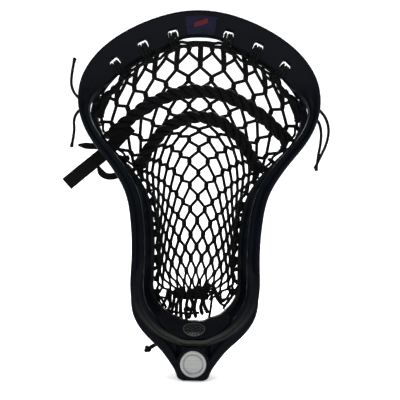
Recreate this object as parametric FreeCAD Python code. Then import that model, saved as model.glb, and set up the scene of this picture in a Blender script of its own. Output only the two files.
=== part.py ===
import FreeCAD, Part
import math
import os
from FreeCAD import Vector

# A strung head for a men's field lacrosse stick, in millimetres.
# +Z runs along the shaft towards the scoop, the open face looks along -Y, the pocket bulges to +Y.
# The origin is the centre of the mouth of the shaft socket.

# Overall sizes of the moulded frame
head_length = 293.0         # socket mouth to scoop tip
head_width = 200.4          # outside, at the widest place
waist_width = 104.8         # outside, along the straight lower sides
mouth_width = 24.4          # outside, at the socket mouth
widest_below_tip = 72.0     # from the tip down to the widest place
stop_height = 25.0          # outside of the ball-stop wall above the mouth
stop_rise = 45.0            # from there up to where its curve meets the straight sides

# The curve of the open face and of the back rail, seen from the side
flare_height = head_length - widest_below_tip
face_dip_height = flare_height - 51.0
face_dip = 3.0              # depth of the face rail at its lowest place
face_rise = 8.2e-4          # how fast it comes forward either side, per mm
back_height = flare_height - 56.0
back_depth = 42.0           # depth of the back rail at its deepest place
back_rise = 1.17e-3

# The rails and the wall between them
rail_width_low = 10.6
rail_width_high = 7.6
rail_width_stop = 5.8       # across the middle of the ball stop
rail_depth = 9.0
wall = 2.8
wall_inset = 1.6            # the wall's middle, inside the rail's outer edge, past half its thickness
back_rail_width = 5.6
back_rail_depth = 8.0
back_rail_inset = 1.5
slant_low = 8.4             # how far the wall leans in on the lower sides
slant_high = 1.0
groove = 1.1
edge_round = 1.4

# The scoop
scoop_width = 17.5          # from the lip to the strung edge, seen from the front
scoop_narrow = 3.0          # how much narrower it is in the middle
scoop_depth = 17.0          # how far the strung edge lies behind the lip
scoop_wall = 4.2
scoop_hole_long = 8.2
scoop_hole_high = 6.0
scoop_hole_round = 1.8
scoop_hole_inset = 11.6     # from the lip to the middle of a string hole
scoop_hole_places = (22.8, 47.6, 71.0)

# The socket and the throat
socket_bore_x = 22.8
socket_bore_y = 25.8
socket_corner = 5.6         # cut corners of the eight-sided shaft
socket_depth = 25.0
socket_wall = 2.3
throat_web = 4.4
throat_web_recess = 5.4
throat_rail = 7.0
window_heights = (
    (flare_height - 65.0, flare_height - 50.0), (flare_height - 45.5, flare_height - 21.0),
    (flare_height - 16.0, flare_height + 8.0))
window_round = 4.0
string_hole_diameter = 3.4
tie_top = flare_height + 11.0
tie_bottom = stop_height + 23.0
screw_hole = 4.4
screw_height = 13.0

# Trim
medallion_diameter = 20.4
medallion_thickness = 1.6
medallion_height = 13.4
medallion_seat = 0.8
boss_height = 1.6
badge_diameter = 18.6
badge_thickness = 1.2
badge_gap = 0.1
pad_thickness = 3.2
pad_front = 0.8             # its thickness along the face rail
pad_gap = 0.5
pad_top = stop_height + 13.0    # how high the pad climbs, on the outline of the ball stop
decal_top = 27.0
decal_bottom = 20.0
decal_thickness = 0.4

# Strings
net_thickness = 2.4
string = 3.0
thin_string = 2.4
shooter = 8.6
lace_width = 11.2
lace_tip_width = 5.0
lace_thickness = 1.6
tie_spacing = 13.0
net_top = flare_height + 14.0   # where the net's top edge meets the sides
net_bottom = stop_height + 21.0
net_gap = 3.6               # from the rail's inner edge to the net, for the sidewall string
upper_shooter = (0.154, 0.042)  # how far down the net each lace crosses, and how its ends fall
lower_shooter = (0.222, 0.114)
net_edge_depth = 14.5       # the net's depth at the scoop, on the centre line
shallow_drop = 9.0          # how much deeper it is where the lower lace crosses
deep_drop = 52.0            # the steep drop into the pocket
stop_return = 50.0          # and its way back up to the ball stop
clearance = 0.3
throat_half_depth = socket_bore_y / 2 + socket_wall + 0.4


os.makedirs("parts", exist_ok=True)


def ramp(value, low, high):
    """0 below low, 1 above high, and a smooth step between."""
    t = min(1.0, max(0.0, (value - low) / (high - low)))
    return t * t * (3 - 2 * t)


def face_y(z):
    """Depth of the face rail's front."""
    return max(face_dip - face_rise * (z - face_dip_height) ** 2, -throat_half_depth)


def back_y(z):
    """Depth of the back rail's rear."""
    return max(back_depth - back_rise * (z - back_height) ** 2, throat_half_depth)


def through(points):
    """A smooth edge through the points."""
    curve = Part.BSplineCurve()
    curve.interpolate(Points=points)
    return curve.toShape()


# Each outline starts at the scoop's tip. Its points are (half width, height).
half_width = head_width / 2
half_waist = waist_width / 2
spread = (flare_height - stop_height - stop_rise) / 151.0
rim_upper = [
    (0.0, head_length),
    (0.327 * half_width, head_length - 0.07 * widest_below_tip),
    (0.551 * half_width, head_length - 0.19 * widest_below_tip),
    (0.768 * half_width, head_length - 0.375 * widest_below_tip),
    (0.902 * half_width, head_length - 0.565 * widest_below_tip),
    (0.977 * half_width, head_length - 0.758 * widest_below_tip),
    (half_width, flare_height),
    (0.965 * half_width, flare_height - 16.0 * spread),
    (0.76 * half_width + 0.24 * half_waist, flare_height - 31.0 * spread),
    (0.524 * half_width + 0.476 * half_waist, flare_height - 45.5 * spread),
    (0.303 * half_width + 0.697 * half_waist, flare_height - 60.4 * spread),
    (0.145 * half_width + 0.855 * half_waist, flare_height - 75.3 * spread),
    (0.055 * half_width + 0.945 * half_waist, flare_height - 95.0 * spread),
    (half_waist + 0.3, flare_height - 130.0 * spread),
]
rim_stop = []
for degrees in (75, 60, 45, 30, 15, 0):
    turn = math.radians(degrees)
    rim_stop.append((half_waist * math.sin(turn), stop_height + stop_rise * (1 - math.cos(turn))))
rim_throat = [
    (half_waist - 0.4, stop_height + 59.0),
    (half_waist - 0.5, stop_height + 41.0),
    (0.94 * half_waist, stop_height + 24.0),
    (0.68 * half_waist, stop_height + 6.0),
    (0.49 * half_waist, stop_height - 2.7),
    (0.355 * half_waist, stop_height - 11.4),
    (mouth_width / 2 + 1.2, 5.0),
    (mouth_width / 2, 0.0),
]


def stations(outline, count, start=0.0, end=1.0, symmetric=True):
    """Evenly spaced places along the right half of an outline, as (place, inward direction)."""
    points = [Vector(x, 0, z) for x, z in outline]
    curve = Part.BSplineCurve()
    if symmetric:
        curve.interpolate(Points=points, InitialTangent=Vector(1, 0, 0), FinalTangent=Vector(-1, 0, 0))
    else:
        curve.interpolate(Points=points)
    edge = curve.toShape()
    found = []
    for i in range(count):
        along = edge.Length * (start + (end - start) * i / (count - 1))
        at = edge.getParameterByLength(along)
        tangent = edge.tangentAt(at)
        found.append((edge.valueAt(at), Vector(tangent.z, 0, -tangent.x)))
    if symmetric:
        found[0] = (Vector(0, 0, outline[0][1]), Vector(0, 0, -1))
        found[-1] = (Vector(0, 0, outline[-1][1]), Vector(0, 0, 1))
    return found


def mirrored(places):
    """The same places on the left, in the opposite order."""
    return [(Vector(-p.x, p.y, p.z), Vector(-n.x, n.y, n.z)) for p, n in reversed(places)]


def other_side(shape):
    """A shape's mirror image on the left."""
    return shape.mirror(Vector(0, 0, 0), Vector(1, 0, 0))


def end_faces(corners, flat):
    """The end of a carried section: one flat face, or strips between its front and its back."""
    if flat:
        return [Part.Face(Part.makePolygon(corners + corners[:1]))]
    front = corners[:len(corners) // 2]
    back = corners[:len(front) - 1:-1]
    strips = []
    for i in range(len(front) - 1):
        one = Part.LineSegment(front[i], front[i + 1]).toShape()
        two = Part.LineSegment(back[i], back[i + 1]).toShape()
        strips.append(Part.makeRuledSurface(one, two))
    return strips


def skin(lines, flat_ends=True):
    """A solid between smooth lines, each the path of one corner of a section that is carried along."""
    steps = [0.0]
    for before, after in zip(lines[0], lines[0][1:]):
        steps.append(steps[-1] + (after - before).Length)
    curves = []
    for line in lines:
        curve = Part.BSplineCurve()
        curve.interpolate(Points=line, Parameters=steps)
        curves.append(curve)
    faces = []
    for one, two in zip(curves, curves[1:] + curves[:1]):
        strip = Part.BSplineSurface()
        strip.buildFromPolesMultsKnots(
            [one.getPoles(), two.getPoles()], (2, 2), one.getMultiplicities(),
            (0.0, 1.0), one.getKnots(), False, False, 1, one.Degree)
        faces.append(strip.toShape())
    for end in (0, -1):
        faces += end_faces([line[end] for line in lines], flat_ends)
    shell = Part.makeShell(faces)
    shell.sewShape()
    solid = Part.makeSolid(shell)
    if solid.Volume < 0:
        solid.reverse()
    return solid


def carried(places, section):
    """A section carried along places; section(place) gives its corners as (inward, depth)."""
    rows = []
    for place, inward in places:
        rows.append([place + inward * n + Vector(0, y, 0) for n, y in section(place)])
    return skin([list(line) for line in zip(*rows)])


def scoop_share(z):
    """0 where the rails run, 1 where they have become the scoop."""
    return ramp(z, flare_height - 14.0, flare_height + 40.0)


def slant(place):
    """How far the sidewall leans in."""
    low = 1 - ramp(place.z, flare_height - 91.0, flare_height - 16.0)
    return slant_high + (slant_low - slant_high) * low


def rail_width(place):
    low = 1 - ramp(place.z, flare_height - 91.0, flare_height - 6.0)
    side = ramp(abs(place.x), 12.0, half_waist - 8.4)
    return rail_width_high * (1 - low) + (rail_width_stop + (rail_width_low - rail_width_stop) * side) * low


def rail_section(place):
    """Face rail, thin leaning wall and back rail, as one closed section."""
    f = face_y(place.z)
    b = back_y(place.z)
    width = rail_width(place)
    lean = slant(place)
    middle = wall_inset + wall / 2
    inner = middle + wall / 2
    outer = middle - wall / 2
    back_in = back_rail_inset + back_rail_width + lean
    back_out = back_rail_inset + lean
    return [
        (0.0, f + 2.2),
        (0.7, f + 0.7),
        (2.2, f),
        (0.40 * width, f),
        (0.40 * width + 0.8, f + groove),
        (0.62 * width - 0.8, f + groove),
        (0.62 * width, f),
        (width - edge_round, f),
        (width, f + edge_round),
        (width, f + rail_depth - edge_round),
        (inner + 0.4, f + rail_depth + 0.6),
        (inner + lean, b - back_rail_depth - 0.6),
        (back_in, b - back_rail_depth + 0.8),
        (back_in, b - edge_round),
        (back_in - edge_round, b),
        (back_out + edge_round, b),
        (back_out, b - edge_round),
        (back_out, b - back_rail_depth + 0.8),
        (outer + lean, b - back_rail_depth - 0.6),
        (outer, f + rail_depth + 0.6),
        (0.2, f + rail_depth - edge_round),
    ]


def scoop_surface(inset, f):
    """Depth of the scoop's front surface at an inset from the lip."""
    return f + scoop_depth * (inset / scoop_width) ** 1.15


def scoop_width_at(x):
    return scoop_width - scoop_narrow * (1 - ramp(abs(x), 0.12 * half_width, 0.42 * half_width))


def scoop_section(place):
    f = face_y(place.z)
    width = scoop_width_at(place.x)
    front = [0.25, 0.37, 0.49, 0.61, 0.78, 0.95]
    back = [0.88, 0.72, 0.58, 0.44, 0.30, 0.17]
    edge = scoop_surface(width, f)
    corners = [(0.0, f + 2.4), (0.4, f + 0.8), (1.6, f + 0.9)]
    for share in front:
        corners.append((share * width, scoop_surface(share * width, f)))
    corners += [
        (width, edge + 0.6),
        (width + 0.2, edge + 1.8),
        (width + 0.1, edge + 3.0),
        (width - 0.4, edge + scoop_wall - 0.4),
        (width - 1.2, edge + scoop_wall),
    ]
    for share in back:
        corners.append((share * width, scoop_surface(share * width, f) + scoop_wall))
    corners.append((0.5, f + scoop_wall))
    return corners


def frame_section(place):
    """The rails' section turning smoothly into the scoop's."""
    share = scoop_share(place.z)
    pairs = zip(rail_section(place), scoop_section(place))
    return [(a[0] + (c[0] - a[0]) * share, a[1] + (c[1] - a[1]) * share) for a, c in pairs]


right_side = stations(rim_upper + rim_stop, 45)


def edge_point(station, inset=0.0, lower=0.0):
    """A point beside the strung edge of the back rail or scoop, moved inwards and back."""
    place, inward = station
    section = frame_section(place)
    y = (section[12][1] + section[13][1]) / 2 + lower
    return place + inward * (section[12][0] + inset) + Vector(0, y, 0)


def side_at(z, inset=0.0, lower=0.0):
    """The point beside the right strung edge at a height, between two stations."""
    points = [edge_point(station, inset, lower) for station in right_side]
    for before, after in zip(points, points[1:]):
        if before.z >= z >= after.z:
            share = (before.z - z) / (before.z - after.z)
            return before + (after - before) * share
    return points[-1]


def upright(radius, height, base, axis):
    return Part.makeCylinder(radius, height, base, axis)


def slab(points, low, thick):
    """A flat plate in the XZ plane with straight sides, as (x, z), from one depth to another."""
    corners = [Vector(x, low, z) for x, z in points]
    return Part.Face(Part.makePolygon(corners + corners[:1])).extrude(Vector(0, thick, 0))


# ---- the moulded frame ----

throat_right = stations(rim_throat, 20, symmetric=False)


def throat_section(place):
    """The throat's side wall, with a narrower rail at its front and back."""
    f = face_y(place.z) + 0.4
    b = back_y(place.z) - 0.4
    lean = slant(place)
    inner = wall_inset + wall - 0.4
    back = back_rail_inset + lean + 0.6
    return [
        (0.0, f + 1.8),
        (0.5, f + 0.6),
        (1.6, f),
        (throat_rail - 1.2, f),
        (throat_rail, f + 1.2),
        (throat_rail, f + rail_depth - 1.8),
        (inner, f + rail_depth),
        (inner + lean, b - back_rail_depth),
        (back + back_rail_width - 1.2, b - back_rail_depth + 1.6),
        (back + back_rail_width - 1.2, b - 1.2),
        (back + back_rail_width - 2.4, b),
        (back + 1.2, b),
        (back, b - 1.2),
        (back - 0.4, b - back_rail_depth),
        (0.9, f + rail_depth),
    ]


def throat_plate(front):
    """The recessed web between the throat's two rails, below the ball stop."""
    right = [p + n * 3.0 for p, n in throat_right if 2.0 < p.z < stop_height + 11.0]
    stop = []
    for degrees in range(-36, 37, 8):
        turn = math.radians(degrees)
        x = (half_waist - 2.0) * math.sin(turn)
        stop.append(Vector(x, front, stop_height + 2.0 + stop_rise * (1 - math.cos(turn))))
    corners = [Vector(p.x, front, p.z) for p in right]
    corners += [Vector(-p.x, front, p.z) for p in reversed(right)]
    edges = Part.makePolygon([stop[-1]] + corners + [stop[0]]).Edges + [through(stop)]
    return Part.Face(Part.Wire(edges)).extrude(Vector(0, throat_web, 0))


def eight_sided(across_x, across_y, cut, low, height):
    """A prism of the shaft's eight-sided outline."""
    x = across_x / 2
    y = across_y / 2
    corners = [
        (x, y - cut), (x - cut, y), (cut - x, y), (-x, y - cut),
        (-x, cut - y), (cut - x, -y), (x - cut, -y), (x, cut - y),
    ]
    points = [Vector(a, b, low) for a, b in corners]
    return Part.Face(Part.makePolygon(points + points[:1])).extrude(Vector(0, 0, height))


def window(low, high, side):
    """An opening through one sidewall, between the face rail and the back rail."""
    corners = []
    for z in (low, (low + high) / 2, high):
        corners.append(Vector(0, face_y(z) + rail_depth + 2.2, z))
    for z in (high, (low + high) / 2, low):
        corners.append(Vector(0, back_y(z) - back_rail_depth - 1.2, z))
    prism = Part.Face(Part.makePolygon(corners + corners[:1])).extrude(Vector(side * head_width, 0, 0))
    along = [e for e in prism.Edges if abs(e.BoundBox.XLength - head_width) < 1 and abs(
        e.BoundBox.ZMin - (low + high) / 2) > 1]
    return prism.makeFillet(window_round, along)


def scoop_hole(x):
    """A rounded slot through the scoop, turned to lie along the lip."""
    reached = [s[0].x + s[1].x * scoop_hole_inset for s in right_side[:16]]
    after = next(i for i, far in enumerate(reached) if far > abs(x))
    share = (abs(x) - reached[after - 1]) / (reached[after] - reached[after - 1])
    place = right_side[after - 1][0] * (1 - share) + right_side[after][0] * share
    inward = right_side[after - 1][1] * (1 - share) + right_side[after][1] * share
    middle = place + inward * scoop_hole_inset
    shape = Part.makeBox(scoop_hole_long, 60, scoop_hole_high,
                         Vector(-scoop_hole_long / 2, -20, -scoop_hole_high / 2))
    shape = shape.makeFillet(scoop_hole_round, [e for e in shape.Edges if e.BoundBox.YLength > 50])
    tilt = math.degrees(math.atan2(inward.x, -inward.z))
    shape.rotate(Vector(0, 0, 0), Vector(0, 1, 0), -tilt)
    shape.translate(Vector(middle.x, 0, middle.z))
    if x < 0:
        shape = other_side(shape)
    return shape


def tie_places():
    """The stations on the right back rail where a sidewall string is tied."""
    found = []
    z = tie_top
    while z > tie_bottom:
        found.append(z)
        z -= tie_spacing
    return found


def string_hole(z, side):
    """A small hole through the back rail, square to it."""
    station = min(right_side, key=lambda s: abs(edge_point(s).z - z))
    place, inward = station
    depth = frame_section(place)[13][1] - 3.0
    base = place + inward * -2.0 + Vector(0, depth, 0)
    hole = upright(string_hole_diameter / 2, 26.0, base, inward)
    if side < 0:
        hole = other_side(hole)
    return hole


def mouth_corner(side):
    """What is cut away from the socket's mouth, so that its edge curves up at the sides."""
    places = [(7.5, -0.4), (8.4, 0.1), (10.5, 0.9), (12.4, 2.4), (13.6, 4.2), (14.6, 6.2), (15.2, 8.0)]
    curve = through([Vector(side * x, -40, z) for x, z in places])
    square = (places[-1], (30.0, 8.0), (30.0, -3.0), (7.5, -3.0), places[0])
    ends = [Vector(side * x, -40, z) for x, z in square]
    return Part.Face(Part.Wire([curve] + Part.makePolygon(ends).Edges)).extrude(Vector(0, 80, 0))


def make_frame():
    """One moulding, made as a right half and its mirror image."""
    half = carried(right_side, frame_section)
    half = half.fuse(carried(throat_right, throat_section).common(
        Part.makeBox(head_width, 200, head_length, Vector(0, -100, 0))))
    frame = half.fuse(other_side(half))
    boss = upright(medallion_diameter / 2 + 2.4, 6.0,
                   Vector(0, -throat_half_depth - boss_height, medallion_height), Vector(0, 1, 0))
    middle = eight_sided(
        socket_bore_x + 2 * socket_wall, 2 * throat_half_depth, socket_corner, 0, stop_height + 1.0)
    frame = frame.fuse([
        middle, boss, throat_plate(-throat_half_depth + throat_web_recess),
        throat_plate(throat_half_depth - throat_web_recess - throat_web)])
    cuts = [eight_sided(socket_bore_x, socket_bore_y, socket_corner - 0.6, -1, socket_depth + 1)]
    cuts.append(upright(medallion_diameter / 2 + clearance, medallion_seat + 1,
                        Vector(0, -throat_half_depth - boss_height - 1, medallion_height),
                        Vector(0, 1, 0)))
    cuts.append(upright(screw_hole / 2, 30.0, Vector(0, 1, screw_height), Vector(0, 1, 0)))
    for side in (1, -1):
        cuts.append(mouth_corner(side))
        for low, high in window_heights:
            cuts.append(window(low, high, side))
        for x in scoop_hole_places:
            cuts.append(scoop_hole(side * x * half_width / 100.2))
        for z in tie_places():
            cuts.append(string_hole(z, side))
    return frame.cut(cuts)


frame = make_frame()
print("frame", frame.isValid(), len(frame.Solids), round(frame.Volume))
frame.exportStep("parts/head_frame.step")


def save(name, shape):
    """Write one sub-part and say what it is."""
    print(name, shape.isValid(), len(shape.Solids), round(shape.Volume, 1))
    shape.exportStep("parts/" + name + ".step")


# ---- trim on the frame ----

def wall_inner(place, depth):
    """Inset of the leaning wall's inner face at a depth."""
    top = face_y(place.z) + rail_depth + 0.6
    share = (depth - top) / (back_y(place.z) - back_rail_depth - 0.6 - top)
    return wall_inset + wall + 0.4 + (slant(place) - 0.4) * share


def pad_section(place):
    """A foam wedge from the face rail's side to the leaning wall, with softened edges."""
    low = face_y(place.z) + 1.6
    high = back_y(place.z) - back_rail_depth - 1.6
    near = rail_width(place) + pad_gap
    far = wall_inner(place, high) + pad_gap
    return [
        (near, low + 0.4), (near + 0.3, low), (near + pad_front - 0.3, low),
        (near + pad_front, low + 0.4), (far + pad_thickness, high - 0.9),
        (far + pad_thickness - 0.9, high), (far + 0.9, high), (far, high - 0.9),
    ]


stop_right = [s for s in right_side if s[0].z < pad_top and s[0].x < half_waist]
stop_places = stop_right + mirrored(stop_right)[1:]
save("ball_stop_pad", carried(stop_places, pad_section))


def badge_section(place):
    """A thin skin just off the pad's inner face."""
    low, high = pad_section(place)[3:5]
    near = [(low[0] + badge_gap, low[1]), (high[0] + badge_gap, high[1])]
    return near + [(n + badge_thickness, y) for n, y in reversed(near)]


pad_low, pad_high = pad_section(Vector(0, 0, stop_height))[3:5]
pad_run = Vector(0, pad_high[1] - pad_low[1], pad_high[0] - pad_low[0])
pad_out = Vector(0, -pad_run.z, pad_run.y).normalize()
badge_middle = Vector(0, (pad_low[1] + pad_high[1]) / 2, stop_height + (pad_low[0] + pad_high[0]) / 2)
plug = upright(badge_diameter / 2, 20.0, Vector(0, 0, -10), Vector(0, 0, 1))
plug.rotate(Vector(0, 0, 0), Vector(1, 0, 0), math.degrees(math.atan2(-pad_out.y, pad_out.z)))
plug.translate(badge_middle)
badge = carried(stop_places, badge_section).common(plug)
save("ball_stop_badge", badge)

medallion_base = Vector(0, -throat_half_depth - boss_height + medallion_seat, medallion_height)
medallion = upright(medallion_diameter / 2, medallion_thickness, medallion_base, Vector(0, -1, 0))
medallion = medallion.makeFillet(0.4, [medallion.Edges[0]])
save("throat_medallion", medallion)


def decal_section(place):
    """A thin skin just off the scoop's front."""
    f = face_y(place.z)
    width = scoop_width_at(place.x)
    shares = (0.26, 0.42, 0.58, 0.76, 0.93)
    near = [(s * width, scoop_surface(s * width, f) - 0.05) for s in shares]
    far = [(n, y - decal_thickness) for n, y in near]
    return near + far[::-1]


decal_right = stations(rim_upper, 6, 0.0, 0.06, symmetric=False)
decal_band = carried(mirrored(decal_right)[:-1] + decal_right, decal_section)
decal_high = head_length
decal_low = head_length - scoop_width - 2
decal_shape = slab([
    (-decal_bottom / 2, decal_low), (decal_bottom / 2, decal_low),
    (decal_top / 2, decal_high), (-decal_top / 2, decal_high),
], -40, 80)
save("scoop_decal", decal_band.common(decal_shape))


# ---- the net and the strings ----

def centre_depth(v):
    """Depth of the pocket's centre line."""
    drop = shallow_drop * ramp(v, 0.0, 0.2) + deep_drop * ramp(v, 0.14, 0.42)
    return net_edge_depth + drop - stop_return * ramp(v, 0.42, 1.04)


def net_point(u, v):
    """The pocket's middle: u runs across from -1 to 1, v from the scoop, 0, to the ball stop, 1."""
    side_height = net_top - (net_top - net_bottom) * v
    side = side_at(side_height, net_gap, -1.0)
    arch = (head_length - scoop_width_at(0) - net_top) * (1 - v) ** 1.6
    height = side.z + arch * (1 - u * u)
    centre = centre_depth(v)
    fall = (1 - abs(u) ** (2.0 + 2.2 * ramp(v, 0.1, 0.5)))
    return Vector(u * side.x, side.y + (centre - side.y) * fall, height)


def make_net():
    """The mesh as one thin curved skin."""
    across = [math.sin(math.pi / 2 * (i / 8 - 1)) for i in range(17)]
    rows = []
    for j in range(15):
        points = [net_point(u, j / 14) for u in across]
        half = Vector(0, net_thickness / 2, 0)
        rows.append([p - half for p in points] + [p + half for p in reversed(points)])
    return skin([list(line) for line in zip(*rows)], flat_ends=False)


def cord(name, points, diameter):
    """A plain tube of straight runs joined by tangent arcs."""
    points = [Vector(*p) for p in points]
    edges = []
    start = points[0]
    smallest = 1e9
    for before, corner, after in zip(points, points[1:], points[2:]):
        run_in = (before - corner)
        run_out = (after - corner)
        turn = math.pi - run_in.getAngle(run_out)
        short = min(run_in.Length, run_out.Length)
        radius = 0.45 * short / math.tan(turn / 2)
        smallest = min(smallest, radius)
        back = 0.45 * short
        near = corner + run_in.normalize() * back
        far = corner + run_out.normalize() * back
        bisector = (run_in + run_out).normalize()
        middle = corner + bisector * (radius / math.cos(turn / 2) - radius)
        edges.append(Part.LineSegment(start, near).toShape())
        arc = Part.Arc(near, middle, far)
        edges.append(arc.toShape())
        start = far
    edges.append(Part.LineSegment(start, points[-1]).toShape())
    path = Part.Wire(edges)
    length = path.Length
    direction = (points[1] - points[0]).normalize()
    ring = Part.Wire([Part.Circle(points[0], direction, diameter / 2).toShape()])
    tube = path.makePipeShell([ring], True, False)
    expected = math.pi * diameter ** 2 / 4 * length
    print(name, "length", round(length, 1), "tightest radius", round(smallest, 1),
          "volume share", round(tube.Volume / expected, 4))
    return tube


def ribbon(points, facing, width, thickness):
    """A flat lace along points, lying square to the facing direction."""
    points = [Vector(*p) for p in points]
    rows = []
    for i, point in enumerate(points):
        along = points[min(i + 1, len(points) - 1)] - points[max(i - 1, 0)]
        across = along.cross(Vector(*facing)).normalize() * (width / 2)
        out = along.cross(across).normalize() * (thickness / 2)
        rows.append([point - across - out, point + across - out, point + across + out,
                     point - across + out])
    return skin([list(line) for line in zip(*rows)])


def tie_bands():
    """Where a sidewall string wraps the back rail: a small band through each second hole."""
    bands = []
    for z in tie_places()[1::2]:
        station = min(right_side, key=lambda s: abs(edge_point(s).z - z))
        place, inward = station
        corner = frame_section(place)
        inner = corner[13][0] + clearance
        outer = corner[17][0] - clearance
        low = corner[13][1] - 3.0
        high = corner[14][1] + clearance
        along = Vector(inward.z, 0, -inward.x) * (thin_string / 2)
        path = [(inner, low), (inner, high), (outer, high), (outer, low)]
        path += [(outer - thin_string, low), (outer - thin_string, high + thin_string)]
        path += [(inner + thin_string, high + thin_string), (inner + thin_string, low)]
        points = [place + inward * n + Vector(0, y, 0) - along for n, y in path]
        bands.append(Part.Face(Part.makePolygon(points + points[:1])).extrude(along * 2))
    return bands


save("mesh_pocket", make_net())

# The top string lies in front of the net's top edge and is lashed through the scoop's holes.
top_right = [edge_point(s, 0.6 + string / 2) for s in right_side[0:15:2]]
top_route = [(-p.x, p.y, p.z) for p in reversed(top_right[1:])] + [(p.x, p.y, p.z) for p in top_right]
save("top_string", Part.makeCompound([cord("top_string", top_route, string)]))

for side, name in ((1, "right"), (-1, "left")):
    rail_points = [side_at(z, 0.6 + thin_string / 2) for z in tie_places()[1:]]
    route = [(side * p.x, p.y, p.z) for p in rail_points]
    tube = cord("sidewall_string_" + name, route, thin_string)
    bands = tie_bands()
    if side < 0:
        bands = [other_side(band) for band in bands]
    save("sidewall_string_" + name, Part.makeCompound([tube] + bands))


def on_net(u, v, before):
    """A point of a route that lies before the net, square to it."""
    here = net_point(u, v)
    square = (net_point(u + 0.02, v) - here).cross(net_point(u, v - 0.02) - here).normalize()
    p = here + square * math.copysign(net_thickness / 2 + before, -square.y)
    return (p.x, p.y, p.z)


lies_before = shooter / 2 + clearance
shooters = (("upper_shooting_string", upper_shooter), ("lower_shooting_string", lower_shooter))
for name, (at, bow) in shooters:
    route = []
    for i in range(11):
        u = (i / 5 - 1) * 0.93
        route.append(on_net(u, at + bow * u * u, lies_before))
    save(name, cord(name, route, shooter))

gather_places = ((-0.9, 0.93), (-0.5, 0.97), (0.0, 0.985), (0.5, 0.97), (0.9, 0.93))
gather = [on_net(u, v, thin_string / 2 + clearance) for u, v in gather_places]
save("bottom_string", cord("bottom_string", gather, thin_string))

# Free ends, each from the hole that it leaves the frame by
tails = {
    "top_tail_left_up": [
        (-96.5, 13.2, 224.5), (-102.5, 13.2, 227), (-108.5, 13.5, 234.5), (-110, 13.5, 245),
        (-107, 13, 261)],
    "top_tail_left_down": [
        (-96.5, 13.6, 220.5), (-102.5, 13.6, 218), (-107, 14, 210), (-105.8, 14.5, 199.5),
        (-108.2, 14.5, 187)],
    "top_tail_right_long": [
        (96.5, 13.2, 226), (102.5, 13.2, 222.5), (109, 13.5, 214), (111, 13.5, 203.5), (108.6, 13.5, 192),
        (104, 13.5, 182.5), (99.9, 13.5, 173)],
    "top_tail_right_short": [
        (95.5, 13.8, 218), (101, 13.8, 214.5), (104.6, 14.5, 206), (105.2, 17, 195), (103.4, 18, 184.5),
        (102, 18, 172)],
    "bottom_tail": [(-12, 20.8, 38), (-17, 21.5, 31), (-24, 21.5, 25), (-32, 20.5, 20.5), (-41, 19, 17.5)],
}


def moved(route, out, back, rise):
    """A route that keeps its place at a frame of another size; out is away from the centre line."""
    return [(x + math.copysign(out, x), y + back, z + rise) for x, y, z in route]


for name, route in tails.items():
    if name == "bottom_tail":
        shift = (0.0, back_y(38.0) - 23.13, stop_height - 25.0)
    else:
        shift = (half_width - 100.2, 0.0, flare_height - 221.0)
    save(name, cord(name, moved(route, *shift), thin_string))

# The flat ends of the two shooting laces, out through the left sidewall's openings.
# Each goes with its lace's end on the net, which is usually at the place given below.
laces = {
    "lace_tail_wide": (lace_width, [
        (-53, 34.5, 197), (-62, 30.5, 193), (-72, 26, 188), (-82, 21.5, 181.5), (-91, 18.5, 173.5),
        (-100, 17, 165.5), (-108.4, 16, 158)]),
    "lace_tail_pointed": (lace_tip_width, [
        (-66, 24, 194), (-76, 21, 191), (-86, 19, 188.5), (-95, 17, 187.5), (-103, 16, 187.8)]),
    "lace_tail_hooked": (lace_tip_width, [
        (-58, 28, 173), (-65, 24, 167), (-72, 21, 162.8), (-79, 20, 162.2), (-85, 21.5, 166),
        (-87, 21.5, 172)]),
}
for name, (width, route) in laces.items():
    if name == "lace_tail_hooked":
        (at, bow), usual = lower_shooter, (53.25, 41.71, 177.57)
    else:
        (at, bow), usual = upper_shooter, (74.27, 34.59, 203.22)
    end = net_point(0.93, at + bow * 0.93 ** 2)
    shift = (end.x - usual[0], end.y - usual[1], end.z - usual[2])
    save(name, ribbon(moved(route, *shift), (0, -1, 0), width, lace_thickness))
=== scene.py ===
import math

import bmesh
import bpy
import numpy as np
from bpy.props import FloatProperty, FloatVectorProperty, IntProperty, PointerProperty
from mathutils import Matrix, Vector


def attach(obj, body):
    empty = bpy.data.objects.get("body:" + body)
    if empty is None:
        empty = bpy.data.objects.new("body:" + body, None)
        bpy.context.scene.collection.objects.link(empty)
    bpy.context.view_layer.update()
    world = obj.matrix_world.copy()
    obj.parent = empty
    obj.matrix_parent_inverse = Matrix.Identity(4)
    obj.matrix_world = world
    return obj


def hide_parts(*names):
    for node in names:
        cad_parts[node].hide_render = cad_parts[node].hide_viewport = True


bl_info = {
    "name": "Strung lacrosse head",
    "version": (1, 0, 0),
    "blender": (4, 5, 0),
    "location": "3D View > Sidebar > Lacrosse",
    "description": "Strings, mesh, laces, foam and trim for a moulded lacrosse head",
    "category": "Add Mesh",
}

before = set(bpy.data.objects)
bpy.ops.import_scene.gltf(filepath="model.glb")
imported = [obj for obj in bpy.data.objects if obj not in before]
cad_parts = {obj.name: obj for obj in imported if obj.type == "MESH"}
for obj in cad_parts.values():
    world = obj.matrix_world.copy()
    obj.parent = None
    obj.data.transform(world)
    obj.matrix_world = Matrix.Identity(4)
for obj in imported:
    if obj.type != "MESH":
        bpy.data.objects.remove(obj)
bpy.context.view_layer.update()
MM = 0.001

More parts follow.
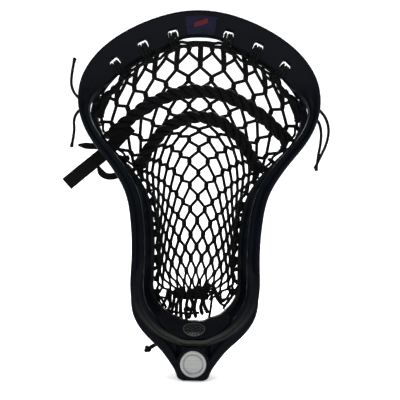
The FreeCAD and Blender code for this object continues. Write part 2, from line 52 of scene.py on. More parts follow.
# Sizes of the moulded frame and of the stringing, in millimetres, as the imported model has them
HEAD_LENGTH = 293.0
HALF_WIDTH = 100.2
HALF_WAIST = 52.4
FLARE_HEIGHT = 221.0
STOP_HEIGHT = 25.0
STOP_RISE = 45.0
SCOOP_WIDTH = 17.5
SCOOP_NARROW = 3.0          # how much narrower the scoop is in the middle
SCOOP_DEPTH = 17.0
SCOOP_CURVE = 1.15          # how its depth grows from the lip inwards, as a power
SCOOP_WALL = 4.2
EDGE_LOW = FLARE_HEIGHT - 14.0   # where the strung edge leaves the back rail, and where it meets the scoop
EDGE_HIGH = FLARE_HEIGHT + 40.0
WALL_FACE = 4.4             # the wall's inner face, inside the rail's outer edge
RAIL_DEPTH = 9.0
BACK_RAIL_IN = 7.1          # the back rail's inner edge, before the wall's slant
BACK_RAIL_DEPTH = 8.0
THROAT_HALF = 15.6
HOLE_PLACES = (22.8, 47.6, 71.0)
HOLE_INSET = 11.6
NET_TOP = 235.0
NET_BOTTOM = 46.0
NET_GAP = 2.4               # from the strung edge to the side of the mesh
TIE_TOP = 232.0             # the sidewall ties' highest and lowest, and how far apart they are
TIE_BOTTOM = 48.0
TIE_SPACING = 13.0
JOINT_SHARE = 0.46          # of the way between two rows of the mesh, where two cords lie side by side
JOINT_APART = 0.60          # how far each lies from the joint's middle, in radii
DISC_HEIGHT = 13.4          # the middle of the throat's disc
BADGE_RADIUS = 9.3
BADGE_ROW = 3.5             # from one wavy ridge of the badge to the next
LACE_THICK = 1.5

# In metres: the ellipse of painted highlight on the stop's lip, and the red bar on the scoop's film
LIP_HIGHLIGHT_WIDE, LIP_HIGHLIGHT_TALL, LIP_HIGHLIGHT_HIGH = 0.0474, 0.0405, 0.070
BAR_SLOPE, BAR_HIGH = -0.22, 0.2853


# ---- mathematics on whole arrays ----

def ramp(value, low, high):
    """0 below low, 1 above high, 3t squared minus 2t cubed between."""
    t = np.clip((value - low) / (high - low), 0.0, 1.0)
    return t * t * (3 - 2 * t)


def hump(value, rise, fall):
    """1 between the two (low, high) stretches over which it rises and falls, 0 outside them."""
    return ramp(value, *rise) * (1 - ramp(value, *fall))


def unit(vectors):
    """Vectors over their own lengths."""
    return vectors / np.maximum(np.linalg.norm(vectors, axis=-1, keepdims=True), 1e-12)


def smooth_line(points, count):
    """Catmull-Rom through the points: on each span a cubic whose end slopes are half the chord of the
    two neighbours, read at evenly spaced lengths. Works on a stack of lines at once."""
    p = np.asarray(points, float)
    p = np.concatenate([2 * p[..., :1, :] - p[..., 1:2, :], p, 2 * p[..., -1:, :] - p[..., -2:-1, :]], -2)
    spans = p.shape[-2] - 3
    per = max(2, int(math.ceil(count / spans)) * 2)
    s = np.linspace(0, spans, spans * per + 1)
    i = np.minimum(s.astype(int), spans - 1)
    t = (s - i)[:, None]
    a, b, c, d = (p[..., i + k, :] for k in range(4))
    square, cube = 2 * a - 5 * b + 4 * c - d, 3 * b - 3 * c + d - a
    dense = 0.5 * (2 * b + (c - a) * t + square * t ** 2 + cube * t ** 3)
    return respaced(dense, count)


def respaced(line, count):
    """The same line read at evenly spaced lengths, for one line or a stack of them."""
    if line.ndim > 2:
        return np.stack([respaced(one, count) for one in line])
    far = np.concatenate([[0.0], np.cumsum(np.linalg.norm(np.diff(line, axis=0), axis=1))])
    at = np.linspace(0, far[-1], count)
    return np.stack([np.interp(at, far, line[:, k]) for k in range(3)], -1)


def squared_off(values, power):
    """The values' sizes to a power below 1, with their signs kept: makes an oval of a sine and a cosine."""
    return np.sign(values) * np.abs(values) ** power


def square_to(tangent, vectors):
    """The vectors less their parts along the tangents, as unit vectors."""
    return unit(vectors - (vectors * tangent).sum(-1, keepdims=True) * tangent)


def lengths_along(line):
    """Distance from the start to each point, for one line or a stack of them."""
    steps = np.linalg.norm(np.diff(line, axis=-2), axis=-1)
    return np.concatenate([np.zeros(steps.shape[:-1] + (1,)), np.cumsum(steps, -1)], -1)


def directions(line):
    """Unit tangents by central differences."""
    return unit(np.gradient(line, axis=-2))


# ---- the moulded frame, as formulas ----

def face_y(z):
    """Depth of the face rail's front: a parabola about 170 mm, never past the throat's front."""
    return np.maximum(3.0 - 8.2e-4 * (z - 170.0) ** 2, -THROAT_HALF)


def back_y(z):
    """Depth of the back rail's rear: a parabola about 165 mm, never short of the throat's back."""
    return np.maximum(42.0 - 1.17e-3 * (z - 165.0) ** 2, THROAT_HALF)


def slant(z):
    """How far the sidewall leans in, 8.4 mm low down and 1 mm at the flare."""
    return 1.0 + 7.4 * (1 - ramp(z, 130.0, 205.0))


def outline(count):
    """The right half of the lip's outline from the scoop's tip to the ball stop, a smooth line through
    shares of the half width and of the waist, then a quarter of an ellipse. Gives places and the
    unit vectors that point inwards."""
    wide, waist = HALF_WIDTH, HALF_WAIST
    upper = [
        (0.0, HEAD_LENGTH), (0.327 * wide, 287.96), (0.551 * wide, 279.32), (0.768 * wide, 266.0),
        (0.902 * wide, 252.32), (0.977 * wide, 238.42), (wide, FLARE_HEIGHT), (0.965 * wide, 205.0),
        (0.76 * wide + 0.24 * waist, 190.0), (0.524 * wide + 0.476 * waist, 175.5),
        (0.303 * wide + 0.697 * waist, 160.6), (0.145 * wide + 0.855 * waist, 145.7),
        (0.055 * wide + 0.945 * waist, 126.0), (waist + 0.3, 91.0)]
    turn = np.radians([75.0, 60.0, 45.0, 30.0, 15.0, 0.0])
    stop = np.stack([HALF_WAIST * np.sin(turn), STOP_HEIGHT + STOP_RISE * (1 - np.cos(turn))], -1)
    flat = np.concatenate([np.array(upper), stop])
    mirrored = np.concatenate([[[-flat[1, 0], flat[1, 1]]], flat, [[-flat[-2, 0], flat[-2, 1]]]])
    line = smooth_line(np.insert(mirrored, 1, 0.0, axis=1), 1200)
    line = line[line[:, 0] > -1e-6]
    line = respaced(line, count)
    tangent = directions(line)
    inward = np.stack([tangent[:, 2], 0 * tangent[:, 0], -tangent[:, 0]], -1)
    return line, inward


LIP, INWARD = outline(400)


def scoop_width_at(x):
    """The scoop's width seen from the front: 3 mm less in the middle, by a smooth step."""
    return SCOOP_WIDTH - SCOOP_NARROW * (1 - ramp(np.abs(x), 0.12 * HALF_WIDTH, 0.42 * HALF_WIDTH))


def scoop_depth(inset):
    """How far the scoop's front surface is behind the lip at an inset: its depth times the inset over its
    width, to the power of SCOOP_CURVE."""
    return SCOOP_DEPTH * (inset / SCOOP_WIDTH) ** SCOOP_CURVE


def strung_edge(inset=0.0, lower=0.0):
    """The right half of the edge that the strings lie against: the back rail's inner face, turning
    into the scoop's rear edge between 207 and 261 mm; moved inwards and back."""
    z = LIP[:, 2]
    share = ramp(z, EDGE_LOW, EDGE_HIGH)
    n_rail = BACK_RAIL_IN + slant(z)
    y_rail = back_y(z) - 4.3
    width = scoop_width_at(LIP[:, 0])
    n = n_rail + (width - 0.4 - n_rail) * share + inset
    y_scoop = face_y(z) + scoop_depth(width) + SCOOP_WALL - 0.2
    y = y_rail + (y_scoop - y_rail) * share + lower
    line = LIP + INWARD * n[:, None]
    line[:, 1] = y
    return line


def side_at(z, inset=0.0, lower=0.0):
    """Points of the right strung edge at given heights, as (x, y)."""
    line = strung_edge(inset, lower)
    keep = np.concatenate([[True], np.diff(np.minimum.accumulate(line[:, 2])) < -1e-9])
    line = line[keep][::-1]
    return np.interp(z, line[:, 2], line[:, 0]), np.interp(z, line[:, 2], line[:, 1])


def net_surface(u, v):
    """The pocket in millimetres. u runs across, -1 to 1, v from the scoop, 0, to the ball stop, 1. Height
    falls evenly with v and arches up to the scoop at the top; depth is the centre line's depth, a
    smooth step in and a smooth step back, faded to the rails' depth by 1 - |u| to a power of 2 to 4.2."""
    u, v = np.broadcast_arrays(np.asarray(u, float), np.asarray(v, float))
    height = NET_TOP - (NET_TOP - NET_BOTTOM) * v
    side_x, side_y = side_at(height, NET_GAP, -1.0)
    arch = (HEAD_LENGTH - SCOOP_WIDTH + SCOOP_NARROW - NET_TOP) * np.maximum(1 - v, 0) ** 1.6
    centre = 14.5 + 9.0 * ramp(v, 0.0, 0.2) + 52.0 * ramp(v, 0.14, 0.42) - 50.0 * ramp(v, 0.42, 1.04)
    fall = 1 - np.abs(u) ** (2.0 + 2.2 * ramp(v, 0.1, 0.5))
    return np.stack([u * side_x, side_y + (centre - side_y) * fall, height + arch * (1 - u * u)], -1)


def net_normal(u, v):
    """Unit normal of the pocket, to its front, from two short steps on the surface."""
    here = net_surface(u, v)
    across = net_surface(np.asarray(u) + 0.01, v) - here
    down = here - net_surface(u, np.asarray(v) - 0.01)
    normal = unit(np.cross(across, down))
    return np.where(normal[..., 1:2] > 0, -normal, normal)


# ---- meshes ----

def carry(line, section, facing, closed=False):
    """A section carried along a line, or along a stack of lines of the same length. section is
    (around, 2) or (along, around, 2), in millimetres along the frame's two axes: the first is
    facing x tangent, the second is the facing direction made square to the tangent. Gives
    vertices, quads and end caps for open lines, and (length along, share round) per vertex."""
    line = np.asarray(line, float)
    if line.ndim == 2:
        line = line[None]
    if closed:
        tangent = unit(np.roll(line, -1, 1) - np.roll(line, 1, 1))
    else:
        tangent = directions(line)
    up = square_to(tangent, np.broadcast_to(np.asarray(facing, float), tangent.shape))
    side = np.cross(up, tangent)
    section = np.asarray(section, float)
    if section.ndim == 2:
        section = section[None]
    across, through = section[None, ..., :1], section[None, ..., 1:]
    rings = line[:, :, None] + side[:, :, None] * across + up[:, :, None] * through
    lines, along, around = rings.shape[:3]
    index = np.arange(lines * along * around).reshape(lines, along, around)
    first = index if closed else index[:, :-1]
    second = np.roll(index, -1, 1) if closed else index[:, 1:]
    quads = np.stack([first, second, np.roll(second, -1, 2), np.roll(first, -1, 2)], -1).reshape(-1, 4)
    caps = []
    if not closed:
        caps = [list(ring) for ring in index[:, 0, :]] + [list(ring[::-1]) for ring in index[:, -1, :]]
    far = lengths_along(line)
    round_share = np.arange(around) / around
    marks = np.stack(np.broadcast_arrays(far[:, :, None], round_share), -1).reshape(-1, 2)
    return rings.reshape(-1, 3), quads, caps, marks


def ring_section(radius, around=8):
    """A circle of the radius, as (along side, along facing), turning so that faces point outwards."""
    turn = np.linspace(0, 2 * math.pi, around, endpoint=False)
    return radius * np.stack([np.cos(turn), -np.sin(turn)], -1)


def tube(points, count, radius, facing=(0, -1, 0), flip=1):
    """A round tube along a smooth line through the points, flipped to the other side when asked."""
    return carry(smooth_line(points, count) * flip, ring_section(radius), facing)


def placed(name, data):
    """A new object with the data, linked into the scene."""
    thing = bpy.data.objects.new(name, data)
    bpy.context.scene.collection.objects.link(thing)
    return thing


def make_piece(name, parts, finish):
    """One smooth mesh object in metres from a list of (vertices, quads, caps, marks) in millimetres. The
    marks become the UV map: metres along, and share round. finish names its material."""
    vertices, faces, marks, start = [], [], [], 0
    for points, quads, caps, mark in parts:
        vertices.append(points)
        faces += (quads + start).tolist()
        faces += [[int(i) + start for i in cap] for cap in caps]
        marks.append(mark)
        start += len(points)
    mesh = bpy.data.meshes.new(name)
    mesh.from_pydata((np.concatenate(vertices) * MM).tolist(), [], faces)
    layer = mesh.uv_layers.new(name="along")
    corner = np.zeros(len(mesh.loops), np.int32)
    mesh.loops.foreach_get("vertex_index", corner)
    uv = np.concatenate(marks)[corner] * np.array([MM, 1.0])
    layer.data.foreach_set("uv", uv.astype(np.float32).ravel())
    mesh.polygons.foreach_set("use_smooth", np.ones(len(mesh.polygons), bool))
    mesh.validate()
    mesh.update()
    piece = placed(name, mesh)
    mesh.materials.append(finish_named(finish))
    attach(piece, "root")
    return piece


def vertex_places(mesh):
    """A mesh's vertices as an array of places in metres."""
    flat = np.zeros(len(mesh.vertices) * 3)
    mesh.vertices.foreach_get("co", flat)
    return flat.reshape(-1, 3)


def grid_faces(rows, columns, wrap_columns=False):
    """Quads of a grid of rows x columns, joined round when its columns wrap."""
    index = np.arange(rows * columns).reshape(rows, columns)
    right = np.roll(index, -1, 1) if wrap_columns else index[:, 1:]
    left = index if wrap_columns else index[:, :-1]
    return np.stack([left[:-1], right[:-1], right[1:], left[1:]], -1).reshape(-1, 4)


# ---- materials ----

def shades(colour, *stops):
    """Stops for a colour ramp, from (position, strength) pairs of one colour."""
    return [(position, tuple(strength * c for c in colour)) for position, strength in stops]


class Finish:
    """A node material in the making. Each method adds a node, links the outputs that it is given, sets
    the plain values, and gives the new node's output."""

    def __init__(self, name, colour, roughness, gloss=None):
        self.material = bpy.data.materials.new(name)
        self.material.use_nodes = True
        self.tree = self.material.node_tree
        self.shader = self.tree.nodes["Principled BSDF"]
        self.shade("Base Color", (*colour, 1.0))
        self.shade("Roughness", roughness)
        if gloss is not None:
            self.shade("Specular IOR Level", gloss)
        self.place = self.tree.nodes.new("ShaderNodeTexCoord").outputs["Object"]

    def give(self, socket, value):
        """Link an output to the socket, or set the socket to a plain value."""
        if isinstance(value, bpy.types.NodeSocket):
            self.tree.links.new(value, socket)
        else:
            socket.default_value = value

    def shade(self, socket, value):
        """Give the shader's own socket a value or an output."""
        self.give(self.shader.inputs[socket], value)

    def node(self, kind, inputs, **settings):
        """A node with its settings, and its inputs by name or number."""
        node = self.tree.nodes.new("ShaderNode" + kind)
        for key, value in settings.items():
            setattr(node, key, value)
        for key, value in inputs.items():
            self.give(node.inputs[key], value)
        return node

    def maths(self, operation, *values):
        return self.node("Math", dict(enumerate(values)), operation=operation).outputs[0]

    def noise(self, scale, detail, **more):
        """Soft noise over the object's place, with scale per metre."""
        inputs = {"Vector": self.place, "Scale": scale, "Detail": detail, **more}
        return self.node("TexNoise", inputs).outputs["Fac"]

    def remap(self, value, source, target, smooth=False):
        """A value moved from one (low, high) range to another, held at its ends."""
        inputs = {"Value": value, "From Min": source[0], "From Max": source[1],
                  "To Min": target[0], "To Max": target[1]}
        kind = "SMOOTHSTEP" if smooth else "LINEAR"
        return self.node("MapRange", inputs, interpolation_type=kind).outputs["Result"]

    def ramp(self, value, stops):
        """Colours along a value, from (position, colour) stops."""
        node = self.node("ValToRGB", {"Fac": value})
        elements = node.color_ramp.elements
        while len(elements) < len(stops):
            elements.new(0.5)
        for element, (position, colour) in zip(elements, stops):
            element.position = position
            element.color = (*colour, 1.0)
        return node.outputs["Color"]

    def mix(self, factor, first, second, way="MIX"):
        inputs = {"Factor": factor, "A": first, "B": second}
        return self.node("Mix", inputs, data_type="RGBA", blend_type=way).outputs["Result"]

    def axes(self, vector):
        """The X, Y and Z outputs of a vector."""
        return self.node("SeparateXYZ", {"Vector": vector}).outputs

    def bump(self, height, strength, distance):
        """Relief on the shader's normal; distance in metres."""
        inputs = {"Height": height, "Strength": strength, "Distance": distance}
        self.shade("Normal", self.node("Bump", inputs).outputs["Normal"])


def painted_lip_highlight(finish):
    """How strongly a painted highlight lightens the nylon on the ball stop's lip: near an ellipse just
    inside the lip, whose value is the square root of (x / LIP_HIGHLIGHT_WIDE) squared plus ((z -
    LIP_HIGHLIGHT_HIGH) / LIP_HIGHLIGHT_TALL) squared, and fading out up the sides."""
    inputs = {"Vector": finish.place, "Scale": (1 / LIP_HIGHLIGHT_WIDE, 0.0, 1 / LIP_HIGHLIGHT_TALL),
              "Location": (0.0, 0.0, -LIP_HIGHLIGHT_HIGH / LIP_HIGHLIGHT_TALL)}
    flat = finish.node("Mapping", inputs).outputs["Vector"]
    far = finish.node("VectorMath", {0: flat}, operation="LENGTH").outputs["Value"]
    off = finish.maths("ABSOLUTE", finish.maths("SUBTRACT", far, 1.0))
    near = finish.remap(off, (0.025, 0.095), (1.0, 0.0), smooth=True)
    low = finish.remap(finish.axes(finish.place)["Z"], (0.030, 0.062), (1.0, 0.12))
    return finish.maths("MULTIPLY", near, low)


def nylon_material(look):
    """Satin moulded nylon: fine grain in the bump, slow drift in colour and gloss, faint scuffs, and a
    painted highlight on the lip of the ball stop."""
    rough = look.nylon_roughness
    finish = Finish("satin_nylon", look.nylon_colour, rough, 0.045)
    tone = finish.ramp(finish.noise(22.0, 4.0), shades(look.nylon_colour, (0.3, 0.75), (0.7, 1.35)))
    # Painted highlight: a lighter band on the ball stop's lip, standing in for the light that the rounded
    # lip catches.
    finish.shade("Base Color", finish.mix(painted_lip_highlight(finish), tone, (*look.lip_highlight_colour, 1.0)))
    scuffs = finish.noise(90.0, 6.0, Roughness=0.7)
    finish.shade("Roughness", finish.remap(scuffs, (0.3, 0.75), (rough - 0.07, rough + 0.1)))
    finish.bump(finish.noise(2600.0, 2.0), 0.12, 0.0002)
    return finish.material


def braid_material(name, colour, pitch, roughness, crown_highlight):
    """Braided, knitted or woven cord: two crossing sets of slanting ridges along the piece's own UV map,
    with painted shade in the troughs and a painted highlight on the yarn crowns, and a fuzz of noise. pitch
    is the length of one stitch in metres, and crown_highlight is how much lighter the painted highlight
    makes the crowns."""
    finish = Finish(name, colour, roughness, 0.07)
    along = finish.axes(finish.node("UVMap", {}, uv_map="along").outputs["UV"])
    waves = []
    for way in (1.0, -1.0):
        turns = finish.maths("MULTIPLY", along["Y"], way * 4 * math.pi)
        phase = finish.maths("MULTIPLY_ADD", along["X"], 2 * math.pi / pitch, turns)
        waves.append(finish.maths("SINE", phase))
    height = finish.remap(finish.maths("MAXIMUM", *waves), (-0.6, 1.0), (0.0, 1.0))
    # Painted shade in the troughs between the ridges and a painted highlight on their crowns.
    tone = finish.ramp(height, shades(colour, (0.0, 0.45), (0.6, 1.0), (1.0, crown_highlight)))
    fuzz = finish.noise(1400.0, 3.0)
    fuzz_tone = finish.ramp(fuzz, [(0.35, (0.55, 0.55, 0.58)), (0.7, (1.5, 1.5, 1.5))])
    finish.shade("Base Color", finish.mix(0.6, tone, fuzz_tone, "MULTIPLY"))
    finish.bump(finish.maths("MULTIPLY_ADD", fuzz, 0.35, height), 0.7, 0.0003)
    return finish.material


def foam_material(look):
    """Closed-cell foam: matt, with fine cells in the bump and a slow drift in tone."""
    finish = Finish("stop_foam_skin", look.foam_colour, 0.82, 0.025)
    cells = finish.node("TexVoronoi", {"Vector": finish.place, "Scale": 1500.0}).outputs["Distance"]
    finish.shade("Base Color", finish.ramp(
        finish.noise(60.0, 4.0), shades(look.foam_colour, (0.3, 0.7), (0.7, 1.5))))
    finish.bump(cells, 0.35, 0.0002)
    return finish.material


def rubber_material(look):
    """Soft rubber, near black as painted shade in the hollows and lighter as a painted highlight on the
    crowns, by the piece's relief attribute.
    """
    finish = Finish("badge_rubber_skin", look.badge_colour, 0.5, 0.03)
    relief = finish.node("Attribute", {}, attribute_name="relief").outputs["Fac"]
    # Painted shade in the hollows and a painted highlight on the crowns, from the relief attribute's height.
    tone = finish.ramp(relief, shades(look.badge_colour, (0.35, 0.03), (0.8, 1.0), (0.98, 2.0)))
    dust = finish.noise(700.0, 4.0)
    dust_tone = finish.ramp(dust, [(0.3, (0.7, 0.7, 0.7)), (0.7, (1.25, 1.25, 1.25))])
    finish.shade("Base Color", finish.mix(0.5, tone, dust_tone, "MULTIPLY"))
    finish.bump(dust, 0.2, 0.0001)
    return finish.material


def silver_material(look):
    """Brushed silver disc: straight slanting brush marks as stretched noise, turned 35 degrees."""
    finish = Finish("brushed_silver", look.disc_colour, 0.36)
    finish.shade("Metallic", 0.75)
    inputs = {"Vector": finish.place, "Rotation": (0.0, math.radians(35), 0.0),
              "Scale": (60.0, 60.0, 2600.0)}
    brush = finish.noise(1.0, 4.0, Vector=finish.node("Mapping", inputs).outputs["Vector"])
    finish.shade("Base Color", finish.ramp(brush, shades(look.disc_colour, (0.3, 0.72), (0.7, 1.0))))
    finish.shade("Roughness", finish.remap(brush, (0.0, 1.0), (0.25, 0.5)))
    finish.bump(brush, 0.15, 0.0001)
    return finish.material


def film_material(look):
    """Navy film on the scoop with a plain slanting red bar across its middle, both worked out from
    Object coordinates in metres; glossy, with a faint orange-peel bump."""
    finish = Finish("navy_film_skin", look.film_colour, 0.3, 0.07)
    axes = finish.axes(finish.place)
    lean = finish.maths("MULTIPLY_ADD", axes["X"], BAR_SLOPE, axes["Z"])
    off = finish.maths("ABSOLUTE", finish.maths("SUBTRACT", lean, BAR_HIGH))
    high = finish.remap(off, (0.0011, 0.0014), (1.0, 0.0))
    wide = finish.remap(finish.maths("ABSOLUTE", axes["X"]), (0.0052, 0.0056), (1.0, 0.0))
    haze = finish.noise(160.0, 5.0)
    blue = finish.ramp(haze, shades(look.film_colour, (0.3, 0.7), (0.7, 1.4)))
    bar = finish.maths("MULTIPLY", high, wide)
    finish.shade("Base Color", finish.mix(bar, blue, (*look.bar_colour, 1.0)))
    finish.bump(haze, 0.08, 0.0002)
    return finish.material


def floor_material(look):
    """Plain pale floor with the faintest mottling."""
    finish = Finish("pale_floor", look.floor_colour, 0.9)
    mottle = finish.noise(3.0, 2.0)
    finish.shade("Base Color", finish.ramp(mottle, shades(look.floor_colour, (0.3, 0.985), (0.7, 1.0))))
    finish.shade("Emission Color", (1.0, 1.0, 1.0, 1.0))
    finish.shade("Emission Strength", 0.35)
    return finish.material


MAKERS = {
    "satin_nylon": nylon_material,
    "knitted_mesh": lambda look: braid_material("knitted_mesh", look.mesh_colour, 0.0022, 0.8, 1.7),
    "braided_cord": lambda look: braid_material("braided_cord", look.cord_colour, 0.0030, 0.75, 1.7),
    "woven_lace": lambda look: braid_material("woven_lace", look.lace_colour, 0.0026, 0.7, 1.5),
    "stop_foam_skin": foam_material,
    "badge_rubber_skin": rubber_material,
    "brushed_silver": silver_material,
    "navy_film_skin": film_material,
    "pale_floor": floor_material,
}


def finish_named(name):
    """The material of that name, made the first time it is asked for."""
    return bpy.data.materials.get(name) or MAKERS[name](bpy.context.scene.lacrosse_look)


# ---- sizes and colours ----

def thickness(name, description, default, low, high):
    """A length in metres for the sidebar."""
    return FloatProperty(
        name=name, description=description, default=default, min=low, max=high, unit="LENGTH")


def colour(name, description, default):
    """A colour for the sidebar."""
    return FloatVectorProperty(
        name=name, description=description, default=default, min=0, max=1, subtype="COLOR")


class LacrosseStrings(bpy.types.PropertyGroup):
    """Thicknesses and counts of the stringing."""
    mesh_cord: thickness("Mesh cord", "Diameter of one knitted cord of the mesh", 0.0030, 0.001, 0.004)
    top_cord: thickness("Top string", "Diameter of the top string", 0.0026, 0.001, 0.004)
    tail_cord: thickness(
        "Strings", "Diameter of the sidewall and bottom strings and of the free ends", 0.0024, 0.001, 0.004)
    lace_yarn: thickness(
        "Lace strand", "Diameter of one strand of a twisted shooting lace", 0.0056, 0.002, 0.008)
    lace_pitch: thickness(
        "Lace twist", "Length of one full turn of a twisted shooting lace", 0.030, 0.01, 0.1)
    columns: IntProperty(
        name="Mesh columns", description="Columns of joints from the mesh's middle to each side",
        default=10, min=4, max=14)


class LacrosseLook(bpy.types.PropertyGroup):
    """Colours and gloss."""
    nylon_colour: colour("Frame", "Colour of the moulded frame", (0.0012, 0.0020, 0.0035))
    # The colour of the painted highlight on the ball stop's lip.
    lip_highlight_colour: colour(
        "Rubbed frame", "Colour of the frame where the ball rubs the stop's lip", (0.022, 0.022, 0.0205))
    nylon_roughness: FloatProperty(
        name="Frame roughness", description="How matt the moulded frame is", subtype="FACTOR",
        default=0.40, min=0.1, max=0.9)
    mesh_colour: colour("Mesh", "Colour of the knitted mesh", (0.0024, 0.0026, 0.0028))
    cord_colour: colour("Strings", "Colour of the braided strings", (0.0028, 0.0030, 0.0032))
    lace_colour: colour("Laces", "Colour of the shooting laces", (0.0011, 0.0012, 0.0017))
    foam_colour: colour("Foam", "Colour of the ball-stop foam", (0.0022, 0.0025, 0.0036))
    badge_colour: colour("Badge", "Colour of the lattice badge", (0.026, 0.027, 0.028))
    disc_colour: colour("Disc", "Colour of the throat's silver disc", (0.32, 0.325, 0.32))
    film_colour: colour("Film", "Colour of the scoop's navy film", (0.0025, 0.003, 0.013))
    bar_colour: colour("Bar", "Colour of the plain bar on the film", (0.070, 0.005, 0.011))
    floor_colour: colour("Floor", "Colour of the floor", (0.92, 0.92, 0.92))


# ---- the frame's and the film's finish ----

class LACROSSE_OT_frame_finish(bpy.types.Operator):
    """Satin nylon on the moulded frame and navy film on the scoop"""
    bl_idname = "lacrosse.frame_finish"
    bl_label = "Frame finish"

    def execute(self, context):
        for node, finish in (("head_frame", "satin_nylon"), ("scoop_decal", "navy_film_skin")):
            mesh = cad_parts[node].data
            mesh.materials.clear()
            mesh.materials.append(finish_named(finish))
        return {"FINISHED"}


# ---- the mesh pocket ----

# How far down the pocket each row of diamonds has its middle, on the centre line
ROW_PLACES = (
    0.071, 0.113, 0.154, 0.193, 0.222, 0.247, 0.267, 0.289, 0.324, 0.361, 0.411, 0.457, 0.514,
    0.562, 0.616, 0.675, 0.728, 0.775, 0.827, 0.871, 0.905, 0.94)


def row_fall(v):
    """How much further down the pocket a row is at the rails than in the middle."""
    return np.interp(v, [0.0, 0.08, 0.13, 0.2, 0.3, 0.5, 0.7, 0.9, 1.0],
                     [0.0, 0.034, 0.06, 0.10, 0.12, 0.10, 0.06, 0.02, 0.0])


def row_line(v, samples=401):
    """A row's line across the pocket, u from -1 to 1, as (u, v) pairs and the share of its length from
    the middle, -1 to 1."""
    u = np.linspace(-1, 1, samples)
    down = v + row_fall(v) * u * u
    far = lengths_along(net_surface(u, down))
    share = far / far[-1] * 2 - 1
    return u, down, share


def net_place(column, v, columns):
    """A point of the pocket at a column, -columns to columns, evenly spaced by length along the row that
    crosses the middle at v. Columns spread a little below the top, and close in to the middle at the
    bottom."""
    u, down, share = row_line(v)
    wanted = np.clip(np.asarray(column, float) / columns, -1, 1)
    wanted = wanted * (1 + 0.16 * ramp(v, 0.1, 0.3) * (1 - wanted ** 2))
    gather = 1 - 0.5 * ramp(v, 0.80, 0.97) * (1 - wanted ** 8)
    at = wanted * gather
    return np.interp(at, share, u), np.interp(at, share, down)


class LACROSSE_OT_mesh_pocket(bpy.types.Operator):
    """Twenty knitted cords that zigzag down the pocket and join side by side between the diamonds"""
    bl_idname = "lacrosse.mesh_pocket"
    bl_label = "Mesh pocket"

    def execute(self, context):
        sizes = context.scene.lacrosse_strings
        columns = sizes.columns
        radius = sizes.mesh_cord / MM / 2
        rows = np.array(ROW_PLACES)
        strands = np.arange(-columns, columns)
        pitch = np.diff(rows, append=rows[-1] + 0.03)
        join = JOINT_SHARE * pitch
        odd = strands % 2 != 0
        column = np.where(odd, strands, strands + 1)
        apart = np.where(odd, JOINT_APART, -JOINT_APART) * radius
        points = [net_points(column, v, columns, apart) for v in (0.002, 0.018, 0.034)]
        for j, (v, half) in enumerate(zip(rows, join / 2)):
            even = (strands + j) % 2 == 0
            column = np.where(even, strands, strands + 1)
            apart = np.where(even, JOINT_APART, -JOINT_APART) * radius
            for step in (-1.0, -0.4, 0.4, 1.0):
                points.append(net_points(column, v + step * half, columns, apart))
        path = smooth_line(np.stack(points, 1), 520)
        thin = 1 - 0.25 * ramp(np.linspace(0, 1, path.shape[1]), 0.84, 0.94)
        parts = [carry(path, ring_section(radius)[None] * thin[:, None, None], surface_facing(path))]
        column = np.repeat(np.arange(-columns, columns + 1, 2), 2)
        apart = np.tile([JOINT_APART * radius, -JOINT_APART * radius], len(column) // 2)
        doubled = np.stack([net_points(column, v, columns, apart) for v in (0.002, 0.020, 0.042, 0.066)], 1)
        path = smooth_line(doubled, 14)
        parts.append(carry(path, ring_section(radius), surface_facing(path)))
        piece = make_piece("mesh_strands", parts, "knitted_mesh")
        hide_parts("mesh_pocket")
        return {"FINISHED"}


def net_points(column, v, columns, apart=0.0):
    """Points of one row, each moved sideways along the row by some millimetres."""
    u, down = net_place(column, v, columns)
    here = net_surface(u, down)
    along = unit(net_surface(u + 0.01, down) - here)
    return here + along * np.reshape(apart, (-1, 1))


def surface_facing(path):
    """A steady facing direction for lines on the pocket: towards the middle of the face, in front."""
    return unit(np.array([0.0, -40.0, 150.0]) - path + np.array([0.0, -60.0, 0.0]))


# ---- lines tied round the frame ----

def loop_round(middle, first, second, count=28):
    """A closed rounded loop: the middle plus cos times one half axis plus sin times the other, squared off
    a little."""
    turn = np.linspace(0, 2 * math.pi, count, endpoint=False)
    c, s = squared_off(np.cos(turn), 0.75), squared_off(np.sin(turn), 0.75)
    return np.asarray(middle) + c[:, None] * np.asarray(first) + s[:, None] * np.asarray(second)


def knot_line(middle, size, turned=0.0, count=60):
    """A closed overhand knot, the trefoil (sin t + 2 sin 2t, cos t - 2 cos 2t, -sin 3t), turned about Y."""
    t = np.linspace(0, 2 * math.pi, count, endpoint=False)
    x, z, y = np.sin(t) + 2 * np.sin(2 * t), np.cos(t) - 2 * np.cos(2 * t), -1.6 * np.sin(3 * t)
    c, s = math.cos(turned), math.sin(turned)
    return np.asarray(middle) + size / 3 * np.stack([c * x + s * z, y, c * z - s * x], -1)


def closed_tube(line, radius, around=8):
    """A tube along a closed line, its facing direction away from the line's middle."""
    tangent = unit(np.roll(line, -1, 0) - np.roll(line, 1, 0))
    out = square_to(tangent, unit(line - line.mean(0)))
    return carry(line, ring_section(radius, around), out[None], closed=True)


def scoop_place(x, inset, lift):
    """A point on the scoop at a half width x: inset from the lip, on its front surface moved forward by
    lift. Also the unit directions inwards along the surface, square to it, and along the lip."""
    i = np.abs(LIP[:220, 0] + INWARD[:220, 0] * HOLE_INSET - abs(x)).argmin()
    side = -1.0 if x < 0 else 1.0
    place, inward = LIP[i].copy(), INWARD[i].copy()
    inward[0] *= side
    place[0] *= side
    steep = SCOOP_DEPTH * SCOOP_CURVE * (inset / SCOOP_WIDTH) ** (SCOOP_CURVE - 1) / SCOOP_WIDTH
    along = unit(inward + np.array([0.0, steep, 0.0]))
    lip_way = np.array([inward[2], 0.0, -inward[0]])
    out = unit(np.cross(along, lip_way))
    out = out if out[1] < 0 else -out
    point = place + inward * inset
    point[1] = float(face_y(place[2])) + scoop_depth(inset)
    return point + out * lift, along, out, lip_way


